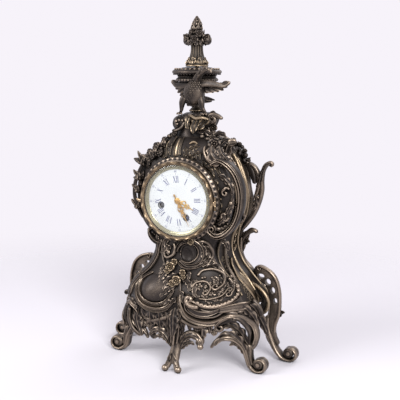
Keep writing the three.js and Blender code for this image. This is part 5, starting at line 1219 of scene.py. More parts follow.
# The rocaille at the waist: a ring of shell work round a dark hollow under the bezel, a C-scroll at its
# left, a loop at its right and a string of flowers and leaves that hangs down between the cushions.
ring_flat = [
    (-2, 160), (1, 169), (9, 175.5), (19, 176), (27, 170), (29.5, 160), (27, 150), (19, 144), (10, 145),
    (3, 150),
]
big_ring = upon(
    [(x, z, w, 4.5) for (x, z), w in zip(ring_flat, (2, 2.6, 3, 3.4, 3.8, 4.4, 5.2, 5.4, 4.8, 3.6))], 0.5,
)
hollow_ring = [
    (3.5, 160), (6, 168), (13, 171.5), (21, 169), (24, 160), (21, 151), (13, 148.5), (6, 152), (3.5, 160),
]
cartouche = [
    strap(big_ring, 0.62, "band"), laid([(x, z, 1.1, 2) for x, z in hollow_ring], 0.35, 0.2),
    laid([
        (3, 150, 2.4, 4), (14, 143, 3.4, 5), (26, 144, 3.6, 5), (35, 150, 3, 4), (37, 156, 2, 3),
    ], 0.7, 1, "band"),
    strap([
        (25, -30, 175, 2, 3), (31, -28, 177, 2.4, 3.6), (37, -23, 174, 2.6, 3.6), (41, -20, 166, 2.6, 3.6),
        (42, -19, 156, 2.6, 3.4), (39, -24, 147, 2.2, 3), (32, -32, 142, 1.8, 2.4),
    ], 0.6),
    laid(curl([
        (-7, 172, 1.8, 2.6), (-4.5, 165, 2.2, 3.2), (-6, 157, 2.4, 3.4), (-12, 152.5, 2.4, 3.4),
    ], 6, 1.1, -1), 0.7, 0.6),
    laid([(-22, 176, 1.6, 2.2), (-25, 164, 2, 2.8), (-22, 150, 2, 2.8), (-16, 140, 1.6, 2.2)], 0.55, 0.4),
    laid([(6, 176, 2.4, 3.4), (13, 180, 2.8, 4), (22, 180, 2.6, 3.6), (30, 183, 2, 3)], 0.6, 0.6),
    bar([(5, -44, 128, 2.6, 3), (8, -46, 118, 3, 4), (9, -49, 108, 3, 4), (8, -50, 97, 2.4, 3)], 0.4),
]
for stops, half, lobes in (
    ([(16, 172), (20, 178), (27, 178), (31, 171)], 4.6, 3),
    ([(24, 172), (30, 170), (33, 162), (31, 154)], 4.6, 4),
    ([(34, 172), (38, 164), (37, 154), (33, 148)], 3.6, 3),
    ([(-8, 146), (-14, 143), (-20, 136), (-23, 128)], 4.6, 4),
    ([(-6, 138), (-14, 134), (-20, 126), (-24, 117)], 5.0, 4),
    ([(4, 133), (-4, 128), (-12, 120), (-14, 110)], 4.8, 4),
    ([(3, 118), (-5, 114), (-12, 108), (-18, 102)], 4.4, 4),
    ([(4, 138), (11, 139), (18, 134), (20, 126)], 4.4, 4),
    ([(8, 126), (15, 126), (22, 120), (24, 112)], 4.4, 4),
    ([(8, 112), (14, 108), (17, 100), (24, 96)], 4.0, 3),
    ([(6, 104), (1, 98), (-6, 95), (-12, 90)], 3.8, 3), ([(8, 98), (12, 92), (10, 84), (12, 76)], 3.6, 3),
    ([(-14, 178), (-20, 172), (-20, 162), (-26, 156)], 4.2, 4),
    ([(-10, 168), (-15, 163), (-14, 156)], 3.4, 3),
):
    cartouche.append(leaf(upon(stops, 2.2), half, lobes, 1.6, 0.15, 1.8, 0.5, 0.6, case_normal))
piece("waist_cartouche_rocaille", cartouche, bronze, "case", ["waist_cartouche"])
petals = []
for x, z, lift, size, count in (
    (-8, 142, 4, 6.5, 5), (-3, 148, 3, 4.5, 5), (4, 126, 5, 6.5, 5), (-2, 121, 4, 5, 5),
    (11, 136, 4, 4.5, 5), (12, 130, 3, 3.6, 5), (-12, 136, 3, 4.4, 5), (18, 176, 4, 4.5, 5),
):
    y = case_front(x, z) - lift
    petals.append(rosette((x, y, z), size, (0.1, -1, 0.1), count, size * 0.6, 0.72))
piece("waist_flowers", petals, rubbed_bronze, "case")

# The crest: a cast rock with shell work and flowers that covers the top of the case and carries the
# bird and the finial. A rubbed rocaille shell stands in its front between two clusters.
FINIAL_Y = 25.0


def level_loft(rows, rough, worn):
    """A solid from rows of z, centre x and y, and half widths in x and y, made smooth between the rows;
    each level loop is an oval whose size swells by rough times three sine waves that turn with height."""
    rows = np.asarray(rows, float)
    path = through(rows[:, [1, 2, 0, 3, 4]], 6 * len(rows))
    a = np.linspace(0, 2 * np.pi, 72, endpoint=False)[None]
    x, y, z, half_x, half_y = (column[:, None] for column in path.T)
    swell = sum(np.sin(k * a + z * (0.11 + 0.05 * n) + n) / (n + 1) for n, k in enumerate((5, 7, 11)))
    grow = 1 + rough * swell
    rings = np.stack([x + half_x * grow * np.cos(a), y + half_y * grow * np.sin(a), z + 0 * a], -1)
    return loft(rings, worn + 0.25 * swell)


crest = [
    level_loft([
        (297, 0, 14, 30, 24), (306, 0, 16, 34, 24), (314, -1, 18, 30, 23), (321, 1, 18, 28, 22),
        (328, 3, 18, 28, 23), (335, 6, 18, 27, 22), (340, 7, 18, 24, 20), (342.6, 8, 19, 20, 17),
    ], rough=0.045, worn=0.3),
    level_loft([
        (327, -17, 10, 7, 7), (329, -17, 10, 9.6, 9.6), (333, -17, 10, 10.4, 10), (337, -17, 10, 7, 7),
        (339.4, -16, 9, 3, 3),
    ], rough=0.05, worn=0.35),
    level_loft([
        (338, 9, 8, 12, 12), (340, 9, 8, 14, 13), (341.6, 9, 8, 12.5, 12), (342.8, 9, 8, 8, 8),
    ], rough=0.06, worn=0.6),
    rosette((33, 4, 335), 6, (0.25, -1, 0.2), 6, 4, 0.45),
    rosette((30, 9, 324), 6.5, (0.5, -1, 0.1), 5, 4, 0.5),
    rosette((-19, -5, 317), 5, (-0.4, -1, 0.1), 5, 3, 0.35),
    rosette((-24, -4, 312), 5, (-0.4, -1, 0.5), 6, 3, 0.35),
    bar(curled([(47.5, 336, 2, 3), (41.5, 339.5, 2.8, 3.4), (35, 341.5, 3, 3.8)], 2, 6, 1.3, 1), 0.5),
    leaf([
        (24, 6, 331), (27, 6, 340), (31, 8, 344), (34, 10, 343),
    ], 4.4, 2, 1.8, 0.2, 1, 0.4, 0.6, (0, -1, 0.4)),
    level_loft([
        (320, -14, 2, 5, 5), (322.5, -14, 2, 8, 7.4), (326, -14, 2, 9.8, 8.6), (330, -14, 2, 10.2, 9),
        (334, -14, 2, 8.8, 8), (337.6, -14, 2, 5, 5),
    ], rough=0.06, worn=0.3),
    stroke([
        (-19, -5, 321, 1.4, 2), (-15, -8, 320, 2, 2.6), (-8, -7, 324, 2, 2.6), (-5, -4, 331, 1.6, 2),
    ], 0.5, facing=(-0.2, -1, 0)),
    leaf([
        (14, -6, 318), (25, -5, 320), (33, -3, 316), (40, -1, 318),
    ], 4.2, 3, 1.6, 0.2, 1, 0.45, 0.6, (0.2, -1, 0.3)),
]
shine = np.array([
    (-16, -7, 332), (-11.5, -7, 333.5), (-14, -7.4, 328.5), (-7.5, -5.5, 333), (-18.5, -5, 329),
])
crest.append(balls(shine, [2.2, 2, 1.6, 1.8, 1.4], 1, 7, 12))
for x, z, radius in (
    (-28, 302, 3.6), (-33, 296, 3.2), (35, 303, 3.4), (30, 310, 3.0), (-27, 311, 3.4), (22, 313, 3.0),
    (40, 300, 3.0),
):
    crest.append(ball((x, case_front(x, min(z, 311)) - 1, z), radius, 0.45))
crest_leaves = [
    leaf([
        (5, 0, 341), (3, -5, 336), (2, -8, 329), (5, -10, 322),
    ], 5.6, 2, 2, -0.35, 1.5, 0.34, 0.6, (-0.3, -1, 0.1)),
    leaf([
        (27, 0, 339), (26, -5, 334), (22, -8, 328), (17, -10, 322),
    ], 5.6, 2, 2, -0.35, 1.5, 0.34, 0.6, (0.3, -1, 0.1)),
    leaf([
        (15, -3, 340), (15, -8, 334), (13, -11, 327), (12, -12, 317),
    ], 6.6, 2, 2.2, -0.3, 2, 0.38, 0.6, (0, -1, 0.1)),
    bar([
        (0, -1, 338, 1.4, 2), (6, -6, 339.5, 2, 2.4), (14, -9, 336.5, 2.2, 2.6), (22, -8, 337.5, 2, 2.4),
        (30, -3, 335, 1.4, 2),
    ], 0.6, (0, -1, 0.3)),
]
piece("crest_rock", crest, bronze, "case", ["crest"])
piece("crest_shell", crest_leaves, rubbed_bronze, "case")

# The bird: a cast bird of prey standing astride on the rock with its wings half raised and its neck
# stretched up past the canopy. Its feathers are chased in the casting.


def feather(root, tip, half, lift, worn=0.5):
    """One flight feather: a narrow blade from root to tip that rises by lift in the middle."""
    root, tip = np.array(root, float), np.array(tip, float)
    middle = (root + tip) / 2 + (0, -0.6, lift)
    return leaf([root, middle, tip], half, 1, 1.1, 0.12, 0.4, worn, 0.7, (0, -1, 0.35))


bird = [
    bar([
        (0, 10, 351, 4, 4), (1.5, 8, 356, 8, 7.5), (3.5, 5, 363, 12.5, 10), (6, 3, 371, 14, 10),
        (9, 1, 379, 11, 8.5), (12, -2, 385, 6.5, 6), (15.5, -7, 390, 4.8, 4.8), (20, -11, 394, 4, 4.2),
        (25, -13, 398, 4.2, 4.4), (30, -13.5, 400.5, 4.2, 4.2), (34, -14, 399.5, 2.8, 3),
    ], 0.42, (0, -1, 0.2)),
    bar([(33, -14, 400.5, 2, 2.2), (37, -15, 399, 1.5, 1.7), (38.5, -15.5, 395.8, 0.9, 1)], 0.7),
    balls([(30.5, -17.2, 401.8), (29.5, -9.6, 401.8)], [1, 1], 0.2, 6, 10),
    feather((6, 14, 362), (18, 34, 357), 4.0, 0, 0.3), feather((8, 14, 364), (23, 33, 359), 3.0, 0, 0.3),
]
for root, tip, half in (
    ((10, 6, 376), (23, 11, 369.5), 4.8), ((14, 7, 378), (30, 13, 370), 5.0),
    ((19, 9, 379.5), (36.5, 15, 371), 5.0), ((25, 11, 380), (42.5, 17, 373), 4.8),
    ((31, 13, 380), (47, 19, 377), 4.2), ((38, 15, 379.5), (50.5, 20, 383.5), 3.4),
    ((3, 7, 374), (-14, 12, 363), 4.8), ((-2, 8, 376), (-20, 13, 365), 5.0),
    ((-7, 9, 378), (-24.5, 15, 369), 5.0), ((-12, 11, 378.5), (-28.5, 17, 374), 4.8),
    ((-17, 12, 378.5), (-32, 19, 379), 4.2), ((-22, 14, 378), (-35, 20, 385.5), 3.4),
):
    bird.append(feather(root, tip, half, 1.0, 0.42))
for stops in (
    [
        (12, 1, 380, 5, 4), (22, 4, 382, 5, 3.4), (33, 10, 380.5, 4, 3), (43, 15, 379, 3, 2.6),
        (51, 19, 384, 2.2, 2.2),
    ],
    [
        (4, 4, 379, 6, 4), (-6, 7, 381, 6, 3.4), (-17, 11, 379, 5, 3), (-27, 16, 379, 3.4, 2.6),
        (-35, 19, 385, 2.2, 2.2),
    ],
):
    bird.append(bar(stops, 0.5, (0, -1, 0.3)))
for side, foot in ((-1, (-13.5, 1, 341.4)), (1, (22.5, 1, 341.6))):
    hip = (3.5 + side * 10, 3, 366)
    bird.append(bar([
        (*hip, 5.2, 5), (hip[0] + side * 3.5, 1, 358, 4.4, 4.6), (hip[0] + side * 5, 1, 351, 3, 3.2),
        (foot[0] - side * 1.5, 1, 346.5, 2.2, 2.4), (foot[0], 2, 344, 1.8, 2), foot + (1.8, 2),
    ], 0.4))
    for dx, dy in ((-4, -4), (0, -6), (4, -4), (0, 4)):
        bird.append(bar([
            (foot[0], foot[1], 342.2, 1.6, 1.5), (foot[0] + dx * 0.6, foot[1] + dy * 0.6, 342.4, 1.4, 1.3),
            (foot[0] + dx, foot[1] + dy, 340.8, 1, 1),
        ], 0.6, (0, 0, 1), fine=0.6))
scale_rows = []
for z in np.arange(354, 386, 2.7):
    half = np.interp(z, [350, 356, 364, 374, 380, 386], [5, 10, 12.2, 11.6, 9, 6])
    cx = np.interp(z, [350, 362, 372, 380, 386], [2.4, 4.5, 6.8, 9.4, 12.5])
    cy = np.interp(z, [350, 356, 362, 371, 379, 386], [4, 1, -3.6, -6.2, -6.6, -7.5])
    for u in np.arange(-0.85, 0.9, 0.3) + int(z * 10) % 2 * 0.15:
        scale_rows.append((cx + half * np.sin(u * 1.3), cy + half * 0.75 * (1 - np.cos(u * 1.3)) - 0.4, z))
neck = through([
    (10, -5, 381), (12.5, -7.5, 386), (16, -11.2, 391), (20.5, -14.8, 395), (25, -17, 398.5),
], 9)[:, :3]
for shift in (-2.6, 0.0, 2.6):
    scale_rows += [tuple(spot + (shift, 0.5 * abs(shift), 0.4 * shift)) for spot in neck]
plume = leaf([(0, 0, 2.4), (0, -0.9, 0), (0, -0.3, -2.4)], 1.6, 1, 0.6, 0.1, 0.5, 0.36, 0.5)
bird.append(scattered(plume, scale_rows, 1.0))
piece("winged_bird_body", bird, bronze, "case", ["winged_bird"])

# Above the crest: a lobed baluster, a moulded canopy plate with a row of beads, a fluted vase with a
# turned collar, and a cone of leaves and rosettes, all threaded on one rod.


def turned(rows, sides=96, lobes=0, depth=0, spans=(0, 0), worn=0.5, per_row=5):
    """Turned about the finial's axis from rows of radius and z; between the two heights of spans the
    radius swells by depth in each of its lobes."""
    rows = np.asarray(rows, float)
    path = through(np.insert(rows, 1, 0, axis=1), per_row * len(rows))
    a = np.linspace(0, 2 * np.pi, sides, endpoint=False)[None]
    r, z = path[:, :1], path[:, 2:3]
    within = np.clip((z - spans[0]) / 1.5, 0, 1) * np.clip((spans[1] - z) / 1.5, 0, 1)
    wave = np.abs(np.cos(lobes * a / 2)) - 0.6 if lobes else 0 * a
    r = r + depth * wave * within
    rings = np.stack([r * np.cos(a), FINIAL_Y + r * np.sin(a), z + 0 * a], -1)
    return loft(rings, worn + 0.3 * wave * within)


def round_beads(count, radius, z, size, worn):
    """A ring of beads about the finial's axis."""
    a = np.linspace(0, 2 * np.pi, count, endpoint=False)
    places = np.column_stack([radius * np.cos(a), FINIAL_Y + radius * np.sin(a), np.full(count, z)])
    return balls(places, size, worn)


piece(
    "baluster_turning",
    [turned([
        (9.8, 343.4), (10.8, 345), (9.2, 347), (7, 349.5), (6.4, 353), (8.6, 358), (10.6, 364), (9.6, 370),
        (7, 374.5), (6.4, 377), (9.4, 379.5), (10.4, 381.5), (9.6, 382.6),
    ], 72, 12, 1.0, (352, 375), 0.55)],
    rubbed_bronze, "case", ["baluster"],
)
piece(
    "canopy_turning",
    [
        turned([
            (18, 383.2), (22, 383.2), (27, 384.2), (28.6, 385.8), (28, 387.8), (26.4, 389), (25.6, 390.4),
            (26.2, 392.4), (29.6, 393.6), (32.6, 394.8), (33.6, 396.6), (32.8, 398.4), (30.6, 399.6),
            (26, 400.4), (23, 401.4), (19, 402.6), (15, 403),
        ], 144, 36, 0.7, (383.4, 387.8), 0.5, 4),
        turned([(25.8, 390.6), (27.4, 391.4), (25.8, 392.2)], 96, worn=0.8),
        round_beads(30, 29.2, 400.4, 1.6, 1.15), round_beads(44, 31.6, 393.6, 0.9, 0.3),
    ],
    bronze, "case", ["canopy_plate"],
)


def spray(count, stops, form, lean, phase=0):
    """Leaves of one form set evenly round the finial's axis, from stops of radius and height; they face
    outwards and up by lean."""
    leaves = []
    for n in range(count):
        a = 2 * np.pi * (n + phase) / count
        c, s = math.cos(a), math.sin(a)
        rows = [(r * c, FINIAL_Y + r * s, z) for r, z in stops]
        leaves.append(leaf(rows, *form, 0.7, (c, s, lean)))
    return leaves


piece(
    "vase_turning",
    [
        turned([
            (13.4, 403.4), (14.4, 404.4), (14.6, 407), (14, 409.6), (12.6, 412), (10.2, 416), (8.8, 420),
            (8.0, 425), (7.8, 429), (8.0, 432),
        ], 96, 14, 0.8, (412, 432), 0.4),
        turned([
            (7.2, 430.6), (8.6, 431.4), (9.0, 432.8), (8.6, 434.2), (8, 435), (8.4, 436.2),
        ], 64, worn=0.3),
        turned([(13.6, 403.5), (15.2, 404), (15.5, 405), (15, 406)], 96, worn=1.0),
        turned([(13.8, 408), (14.9, 408.8), (15.1, 409.8), (14.2, 410.8), (13, 411)], 96, worn=1.0),
        *spray(8, [(15, 405), (15.6, 409), (12.4, 413.5), (11.4, 416)], (5.2, 3, 1, 0.2, 1.2, 0.55), 0.2),
    ],
    rubbed_bronze, "case", ["finial_vase"],
)
bouquet = [
    turned([
        (5, 436.6), (8.2, 438), (8.6, 443), (6.6, 450), (4.6, 457), (2.6, 463), (1.0, 467.4),
    ], 48, worn=0.2),
]
levels = [(8, 437.5, 9, 9, 3.4), (7.6, 443, 8, 9.5, 1.6), (6.2, 448.5, 7, 9.5, 0.6), (4.8, 454, 6, 9, 0)]
levels += [(3.2, 459, 4, 8, -0.6), (0.9, 462.5, 3, 7.4, -0.4)]
for level, (radius, z, count, size, out) in enumerate(levels):
    rows = [(radius * 0.8, z), (radius + 1.6, z + size * 0.5), (radius + out, z + size)]
    bouquet += spray(count, rows, (size * 0.33, 1, 1, 0.3, 0.8, 0.42), 0.1, 0.5 * (level % 2))
bouquet += spray(10, [(7, 439), (11.4, 438), (11.8, 431)], (3.6, 2, 1, 0.25, 0.8, 0.35), 0.4)
for x, y, z, size, facing in (
    (14, 24, 440, 7.0, (0.8, -1, 0.1)), (-14.5, 24, 440.5, 7.4, (-0.8, -1, 0.1)),
    (2, 12.5, 439.5, 5.4, (0.2, -1, 0.2)), (0, 38, 440, 5.6, (0, 1, 0.2)),
    (8, 15.5, 447, 4.4, (0.5, -1, 0.2)), (-5, 16, 449, 3.8, (-0.5, -1, 0.2)),
):
    bouquet.append(rosette((x, y, z), size, facing, 5, size * 0.55, 0.45))
for x in (14, -14.5):
    bouquet.append(ball((x, 27, 438), 6.2, 0.3, 8, 14))
    bouquet.append(leaf([
        (x * 0.9, 24, 442), (x * 1.18, 23, 444.5), (x * 1.3, 23, 446.5),
    ], 3, 1, 1.2, 0.2, 0.8, 0.4, 0.6, (0, -1, 0.2)))
piece("bouquet_leaves", bouquet, bronze, "case", ["finial_bouquet"])

# The bezel: a fixed brass ring screwed into the case, and on a hinge at its right the glazed door, a
# turned and chased brass ring round a flat bevelled glass with a small lifting tab at its left.


def dial_hoop(rows, count, worn, chase=0, depth=0, part=(0, 0)):
    """Turned about the dial's axis from a closed loop of radius and y. In the rows part[0] to part[1]
    the face is lifted by depth times a leafy wave, chase times round."""
    a = np.linspace(0, 2 * np.pi, count, endpoint=False)[None]
    r, y = (column[:, None] + 0 * a for column in np.array(rows, float).T)
    marks = np.full(r.shape, worn)
    if chase:
        n = np.arange(len(rows))[:, None]
        across = (n - part[0]) / (part[1] - part[0])
        inside = ((n >= part[0]) & (n <= part[1])) * np.sin(np.pi * np.clip(across, 0, 1))
        wave = np.maximum(np.cos(chase * a + 3.0 * across), 0) ** 0.7
        wave = wave + 0.5 * np.maximum(np.cos(chase * a - 3.4 * across + 2.2), 0)
        y = y - depth * wave * inside
        marks = marks + (0.75 * wave - 0.35) * inside
    return loft(np.stack([r * np.sin(a), y, DIAL_Z + r * np.cos(a)], -1), marks, hoop=True)


def metal(name, tone, dull, rough, grain, lathe=False):
    """Worked metal: its tone darkens towards dull in cloudy tarnish, and in hollows found by ambient
    occlusion as painted shade, with fine scratches in the bump; lathe work has its scratches running round
    the dial's axis."""
    finish = Finish(name)
    cloud = finish.noise(70, 4)
    worn = finish.node("ShaderNodeAttribute", {"attribute_name": "worn"}, out="Fac")
    air = finish.open_air(0.003, 0.3, 0.9)
    if lathe:
        axis = (0, 0, DIAL_Z * MM)
        centre = finish.node("ShaderNodeVectorMath", {"operation": "SUBTRACT"}, finish.place, axis)
        reach = finish.node("ShaderNodeVectorMath", {"operation": "LENGTH"}, centre, out="Value")
        turns = {"noise_dimensions": "1D"}
        lines = finish.node("ShaderNodeTexNoise", turns, W=reach * 4200, Scale=1.0, Detail=2)
    else:
        lines = finish.noise(1500, 2, (1.0, 8.0, 1.0))
    # Painted shade: the ambient occlusion mask pulls the colour towards dull in hollows, besides the
    # tarnish.
    clean_and_unshaded = (0.25 + worn * 0.9 + (cloud - 0.5) * 0.9).clamped() * air
    return finish.set(
        Base_Color=finish.mix(clean_and_unshaded.clamped(), dull, tone),
        Metallic=(0.8 + clean_and_unshaded * 0.2).clamped(),
        Roughness=(rough + (1 - clean_and_unshaded) * 0.22 + (lines - 0.5) * 0.16).clamped(),
        Normal=finish.bump(lines + cloud * 0.3, 0.00012, grain),
    )


polished_brass = metal("polished_brass", (0.37, 0.34, 0.23), (0.19, 0.165, 0.105), 0.24, 0.35, True)
chased_brass = metal("chased_brass", (0.36, 0.265, 0.165), (0.034, 0.023, 0.015), 0.32, 0.5)
worked_brass = metal("worked_brass", (0.58, 0.44, 0.20), (0.30, 0.21, 0.09), 0.28, 0.4)
blued_steel = metal("worked_steel", (0.42, 0.42, 0.43), (0.14, 0.13, 0.13), 0.30, 0.4)

piece(
    "bezel_seat",
    [dial_hoop([
        (45, -36.6), (45, -37.6), (45.8, -38), (50, -38), (51, -37.4), (51, -36.5), (48.6, -36.4),
        (48.2, -34), (48, -30), (45.2, -30),
    ], 144, 0.4)],
    chased_brass, "case",
)
a = np.linspace(0, 2 * np.pi, 96, endpoint=False)
door_beads = np.column_stack([48.9 * np.sin(a), np.full(96, -42.4), DIAL_Z + 48.9 * np.cos(a)])
door = [
    dial_hoop([
        (47.2, -38.4), (47.2, -40.4), (47.6, -41.4), (48.4, -42), (49, -42.9), (49.8, -43.2),
        (50.8, -43.15), (51.8, -42.6), (52.5, -41.6), (52.6, -40.2), (52, -38.9), (51, -38.4),
    ], 240, 0.1, 22, 0.9, (4, 9)),
    balls(door_beads, 0.62, 0.45, 4, 8),
    bar([
        (-50, -41, DIAL_Z - 2), (-54, -41.4, DIAL_Z - 2.5), (-57.5, -41, DIAL_Z - 1),
    ], 0.9, half=2, height=1.4, fine=0.5),
    ball((-57.5, -41, DIAL_Z - 1), 1.7, 1, 8, 14),
]
piece("door_ring_chased", door, chased_brass, "front_door", ["door_ring"])


def upright(x, y, rows):
    """Turned about an upright axis at x, y, from rows of radius and height above the dial's axis."""
    a = np.linspace(0, 2 * np.pi, 28, endpoint=False)[None]
    r, z = (column[:, None] for column in np.array(rows, float).T)
    return loft(np.stack([x + r * np.cos(a), y + r * np.sin(a), DIAL_Z + z + 0 * a], -1), 0.7)


door_knuckle = [(1, -4), (1.7, -3.9), (1.8, -3.6), (1.6, -3.2), (1.6, 3.2), (1.8, 3.6), (1.7, 3.9), (1, 4)]
door_leaf = [(49.5, -40.2, DIAL_Z), (52, -40, DIAL_Z), (54, -39.2, DIAL_Z)]
piece(
    "door_hinge_knuckle",
    [upright(54, -38.5, door_knuckle), bar(door_leaf, 0.6, half=3.6, height=1.2, fine=0.4)],
    chased_brass, "front_door",
)

# The glass, clear but for a faint mirror that grows to its edge-on view, and the polished ring that slopes
# in from it to the dial.
glass = Finish("bevelled_glass")
smear = glass.noise(60, 3)
glass.set(
    Base_Color=(0.96, 0.98, 0.97), Roughness=(0.015 + smear * 0.03).clamped(), Metallic=1.0,
    Normal=glass.bump(smear, 2e-05, 0.15),
)
see_through = glass.node("ShaderNodeBsdfTransparent", {}, (0.985, 0.995, 0.99))
slant = glass.node("ShaderNodeLayerWeight", {}, Blend=0.5, out="Facing")
mirror_share = 0.04 + slant * slant * slant * slant * slant * 0.96
pane_shader = glass.node(
    "ShaderNodeMixShader", {}, mirror_share, see_through, Field(glass, glass.shader.outputs[0]),
)
glass.give(glass.tree.nodes["Material Output"].inputs["Surface"], pane_shader)
pane = spool(0, DIAL_Z, [(20, -41.7), (46.2, -41.7), (47.6, -41.3), (48.5, -40.72), (20, -40.7)], 128)
piece("door_glass_pane", [pane], glass.material, "front_door", ["door_glass"], 20)
piece(
    "slope_ring_polished",
    [dial_hoop([
        (42.1, -37.3), (42.0, -37.6), (42.3, -37.9), (43.4, -38.35), (44.6, -38.95), (45.7, -39.6),
        (46.4, -39.98), (46.85, -39.8), (46.9, -39.2), (46.2, -38.3), (44, -37.4), (43, -37.3),
    ], 200, 0.95)],
    polished_brass, "case", ["slope_ring"],
)

# The dial: a white enamelled copper disc with blue Roman hours, a fine minute track, small numbers every
# five minutes, and two holes for the winding squares, ringed in near black as painted shade of the holes.
# It has slipped round a little.
DIAL_TURN = math.radians(4.5)
DIAL_FACE = -37.0
SUNK = 0.05
RAISED = 0.07
enamel = Finish("white_enamel")
haze, craze = enamel.noise(30, 3), enamel.noise(700, 2)
enamel.set(
    Base_Color=enamel.mix(haze.from_to(0.35, 0.7), (0.555, 0.555, 0.565), (0.595, 0.595, 0.605)),
    Roughness=(0.16 + (craze - 0.5) * 0.06).clamped(), Coat_Weight=0.5, Coat_Roughness=0.06,
    Normal=enamel.bump(enamel.noise(90, 2), 8e-05, 0.25),
)
ink = Finish("blue_enamel_figures")
fired = ink.noise(900, 3)
ink.set(
    Base_Color=ink.mix(fired.from_to(0.3, 0.75), (0.035, 0.04, 0.13), (0.1, 0.1, 0.24)),
    Roughness=(0.25 + fired * 0.1).clamped(),
)
# Painted shade: near-black rings round the winding holes stand in for the dark inside them.
hole_shade = Finish("painted_hole_shade_rings")
speck = hole_shade.noise(1200, 2)
hole_shade.set(
    Base_Color=hole_shade.mix(speck, (0.012, 0.012, 0.016), (0.05, 0.05, 0.06)),
    Roughness=(0.2 + speck * 0.15).clamped(),
)
dial_radii = [0.8, 12, 26, 36, 41.6, 42.6, 43]
dial_lift = [-0.28, -0.27, -0.2, -0.08, 0.0, 0.12, 0.4]
holes = [(12.5, -21.65), (-23.9, -7.3)]
dial_rows = [(r, DIAL_FACE + y) for r, y in zip(dial_radii, dial_lift)]
dial_disc = spool(0, DIAL_Z, [*dial_rows, (43, -35.7), (42.6, -35.42), (10, -35.4)], 200)
dial_tools = [
    spool(x, DIAL_Z + z, [(r, -42), (r, -30)], 64)
    for (x, z), r in zip([*holes, (0, 0)], (3.3, 3.3, 3))
]
dial_mesh = carve("dial_enamel", dial_disc, dial_tools)
place(dial_mesh, points_of(dial_mesh))
settle(dial_mesh, "dial_enamel", enamel.material, "case", ["dial"], 0.6, 30)


def dial_place(flat, radius, clockwise):
    """Points drawn upright about the origin, moved out to the radius and turned clockwise, and the Y of
    the dial's face there."""
    x, z = flat[..., 0], flat[..., 1] + radius
    c, s = math.cos(clockwise), math.sin(clockwise)
    face = DIAL_FACE + np.interp(np.hypot(x, z), dial_radii, dial_lift)
    return np.stack([x * c + z * s, DIAL_Z + z * c - x * s], -1), face


def inked(segments, radius, clockwise):
    """Thin raised bars, each a box round a line from (x0, z0) to (x1, z1) of the given width, set out on
    the dial at the radius and angle, standing just above its domed face."""
    rows = np.asarray(segments, float)
    start, end, half = rows[:, :2], rows[:, 2:4], rows[:, 4:5] / 2
    along = unit(end - start)
    across = np.stack([-along[:, 1], along[:, 0]], -1) * half
    corners = np.stack([start - across, start + across, end + across, end - across], 1)
    corners, face = dial_place(corners, radius, clockwise)
    points = [np.insert(corners, 1, face + lift, axis=-1) for lift in (SUNK, -RAISED)]
    points = np.concatenate(points, 1).reshape(-1, 3)
    box = np.array([(0, 1, 2, 3), (7, 6, 5, 4), (0, 4, 5, 1), (1, 5, 6, 2), (2, 6, 7, 3), (3, 7, 4, 0)])
    quads = (np.arange(len(rows))[:, None, None] * 8 + box).reshape(-1, 4)
    return points, *outward(points, quads, np.zeros((0, 3), int)), np.full(len(points), 0.5)


# Each hour is written letter by letter from its left: thick and thin bars as x, z, x, z, width, and a
# fine serif across each free end.
figures = []
HOURS = ("XII", "I", "II", "III", "IIII", "V", "VI", "VII", "VIII", "IX", "X", "XI")
TALL = 4.2
SLANT = 1.5
HOUR_RADIUS = 28.6
MINUTE_RADIUS = 35.6
NUMBER_RADIUS = 39.2
for hour, text in enumerate(HOURS):
    at = 0
    lines = []
    for letter in text:
        wide = 2 if letter == "I" else 4.4
        middle = at + wide / 2
        left, right = middle - SLANT, middle + SLANT
        if letter == "I":
            lines.append((middle, -TALL, middle, TALL, 0.85))
            feet = [(middle, -TALL), (middle, TALL)]
        elif letter == "V":
            lines += [(left, TALL, middle, -TALL, 0.95), (right, TALL, middle, -TALL, 0.32)]
            feet = [(left, TALL), (right, TALL)]
        else:
            lines += [(left, TALL, right, -TALL, 0.95), (right, TALL, left, -TALL, 0.32)]
            feet = [(left, TALL), (right, TALL), (left, -TALL), (right, -TALL)]
        lines += [(x - 0.8, z, x + 0.8, z, 0.22) for x, z in feet]
        at += wide
    shifted = np.array(lines) - (at / 2, 0, at / 2, 0, 0)
    figures.append(inked(shifted, HOUR_RADIUS, 2 * math.pi * hour / 12 - DIAL_TURN))
for minute in range(60):
    long, wide = (0.5, 0.22) if minute % 5 else (0.9, 0.5)
    figures.append(inked([(0, -long, 0, long, wide)], MINUTE_RADIUS, 2 * math.pi * minute / 60 - DIAL_TURN))
for five in range(12):
    letters = bpy.data.curves.new("minute_number", "FONT")
    letters.body = str(five * 5 or 60)
    letters.size = 3.6
    letters.align_x = letters.align_y = "CENTER"
    letters.extrude = 0.06
    carrier = bpy.data.objects.new("minute_number", letters)
    scene.collection.objects.link(carrier)
    bpy.context.view_layer.update()
    flat = bpy.data.meshes.new_from_object(carrier.evaluated_get(bpy.context.evaluated_depsgraph_get()))
    flat.calc_loop_triangles()
    corners = np.zeros(len(flat.loop_triangles) * 3, int)
    flat.loop_triangles.foreach_get("vertices", corners)
    drawn = points_of(flat)
    out, face = dial_place(drawn[:, :2], NUMBER_RADIUS, 2 * math.pi * five / 12 - DIAL_TURN)
    points = np.insert(out, 1, face - drawn[:, 2], axis=1)
    faces = outward(points, np.zeros((0, 4), int), corners.reshape(-1, 3))
    figures.append((points, *faces, np.full(len(points), 0.5)))
    bpy.data.objects.remove(carrier)
piece("dial_figures", figures, ink.material, "case", crease=20)

# The rings round the winding holes, near black: painted shade of the holes.
hole_shade_profile = [(3.3, -36), (3.3, -37.25), (3.7, -37.5), (4.5, -37.5), (4.9, -37.2), (4.7, -36.9), (3.9, -36.4)]
hole_shade_rings = [spool(x, DIAL_Z + z, hole_shade_profile, 72, hoop=True) for x, z in holes]
piece("winding_hole_rings", hole_shade_rings, hole_shade.material, "case")

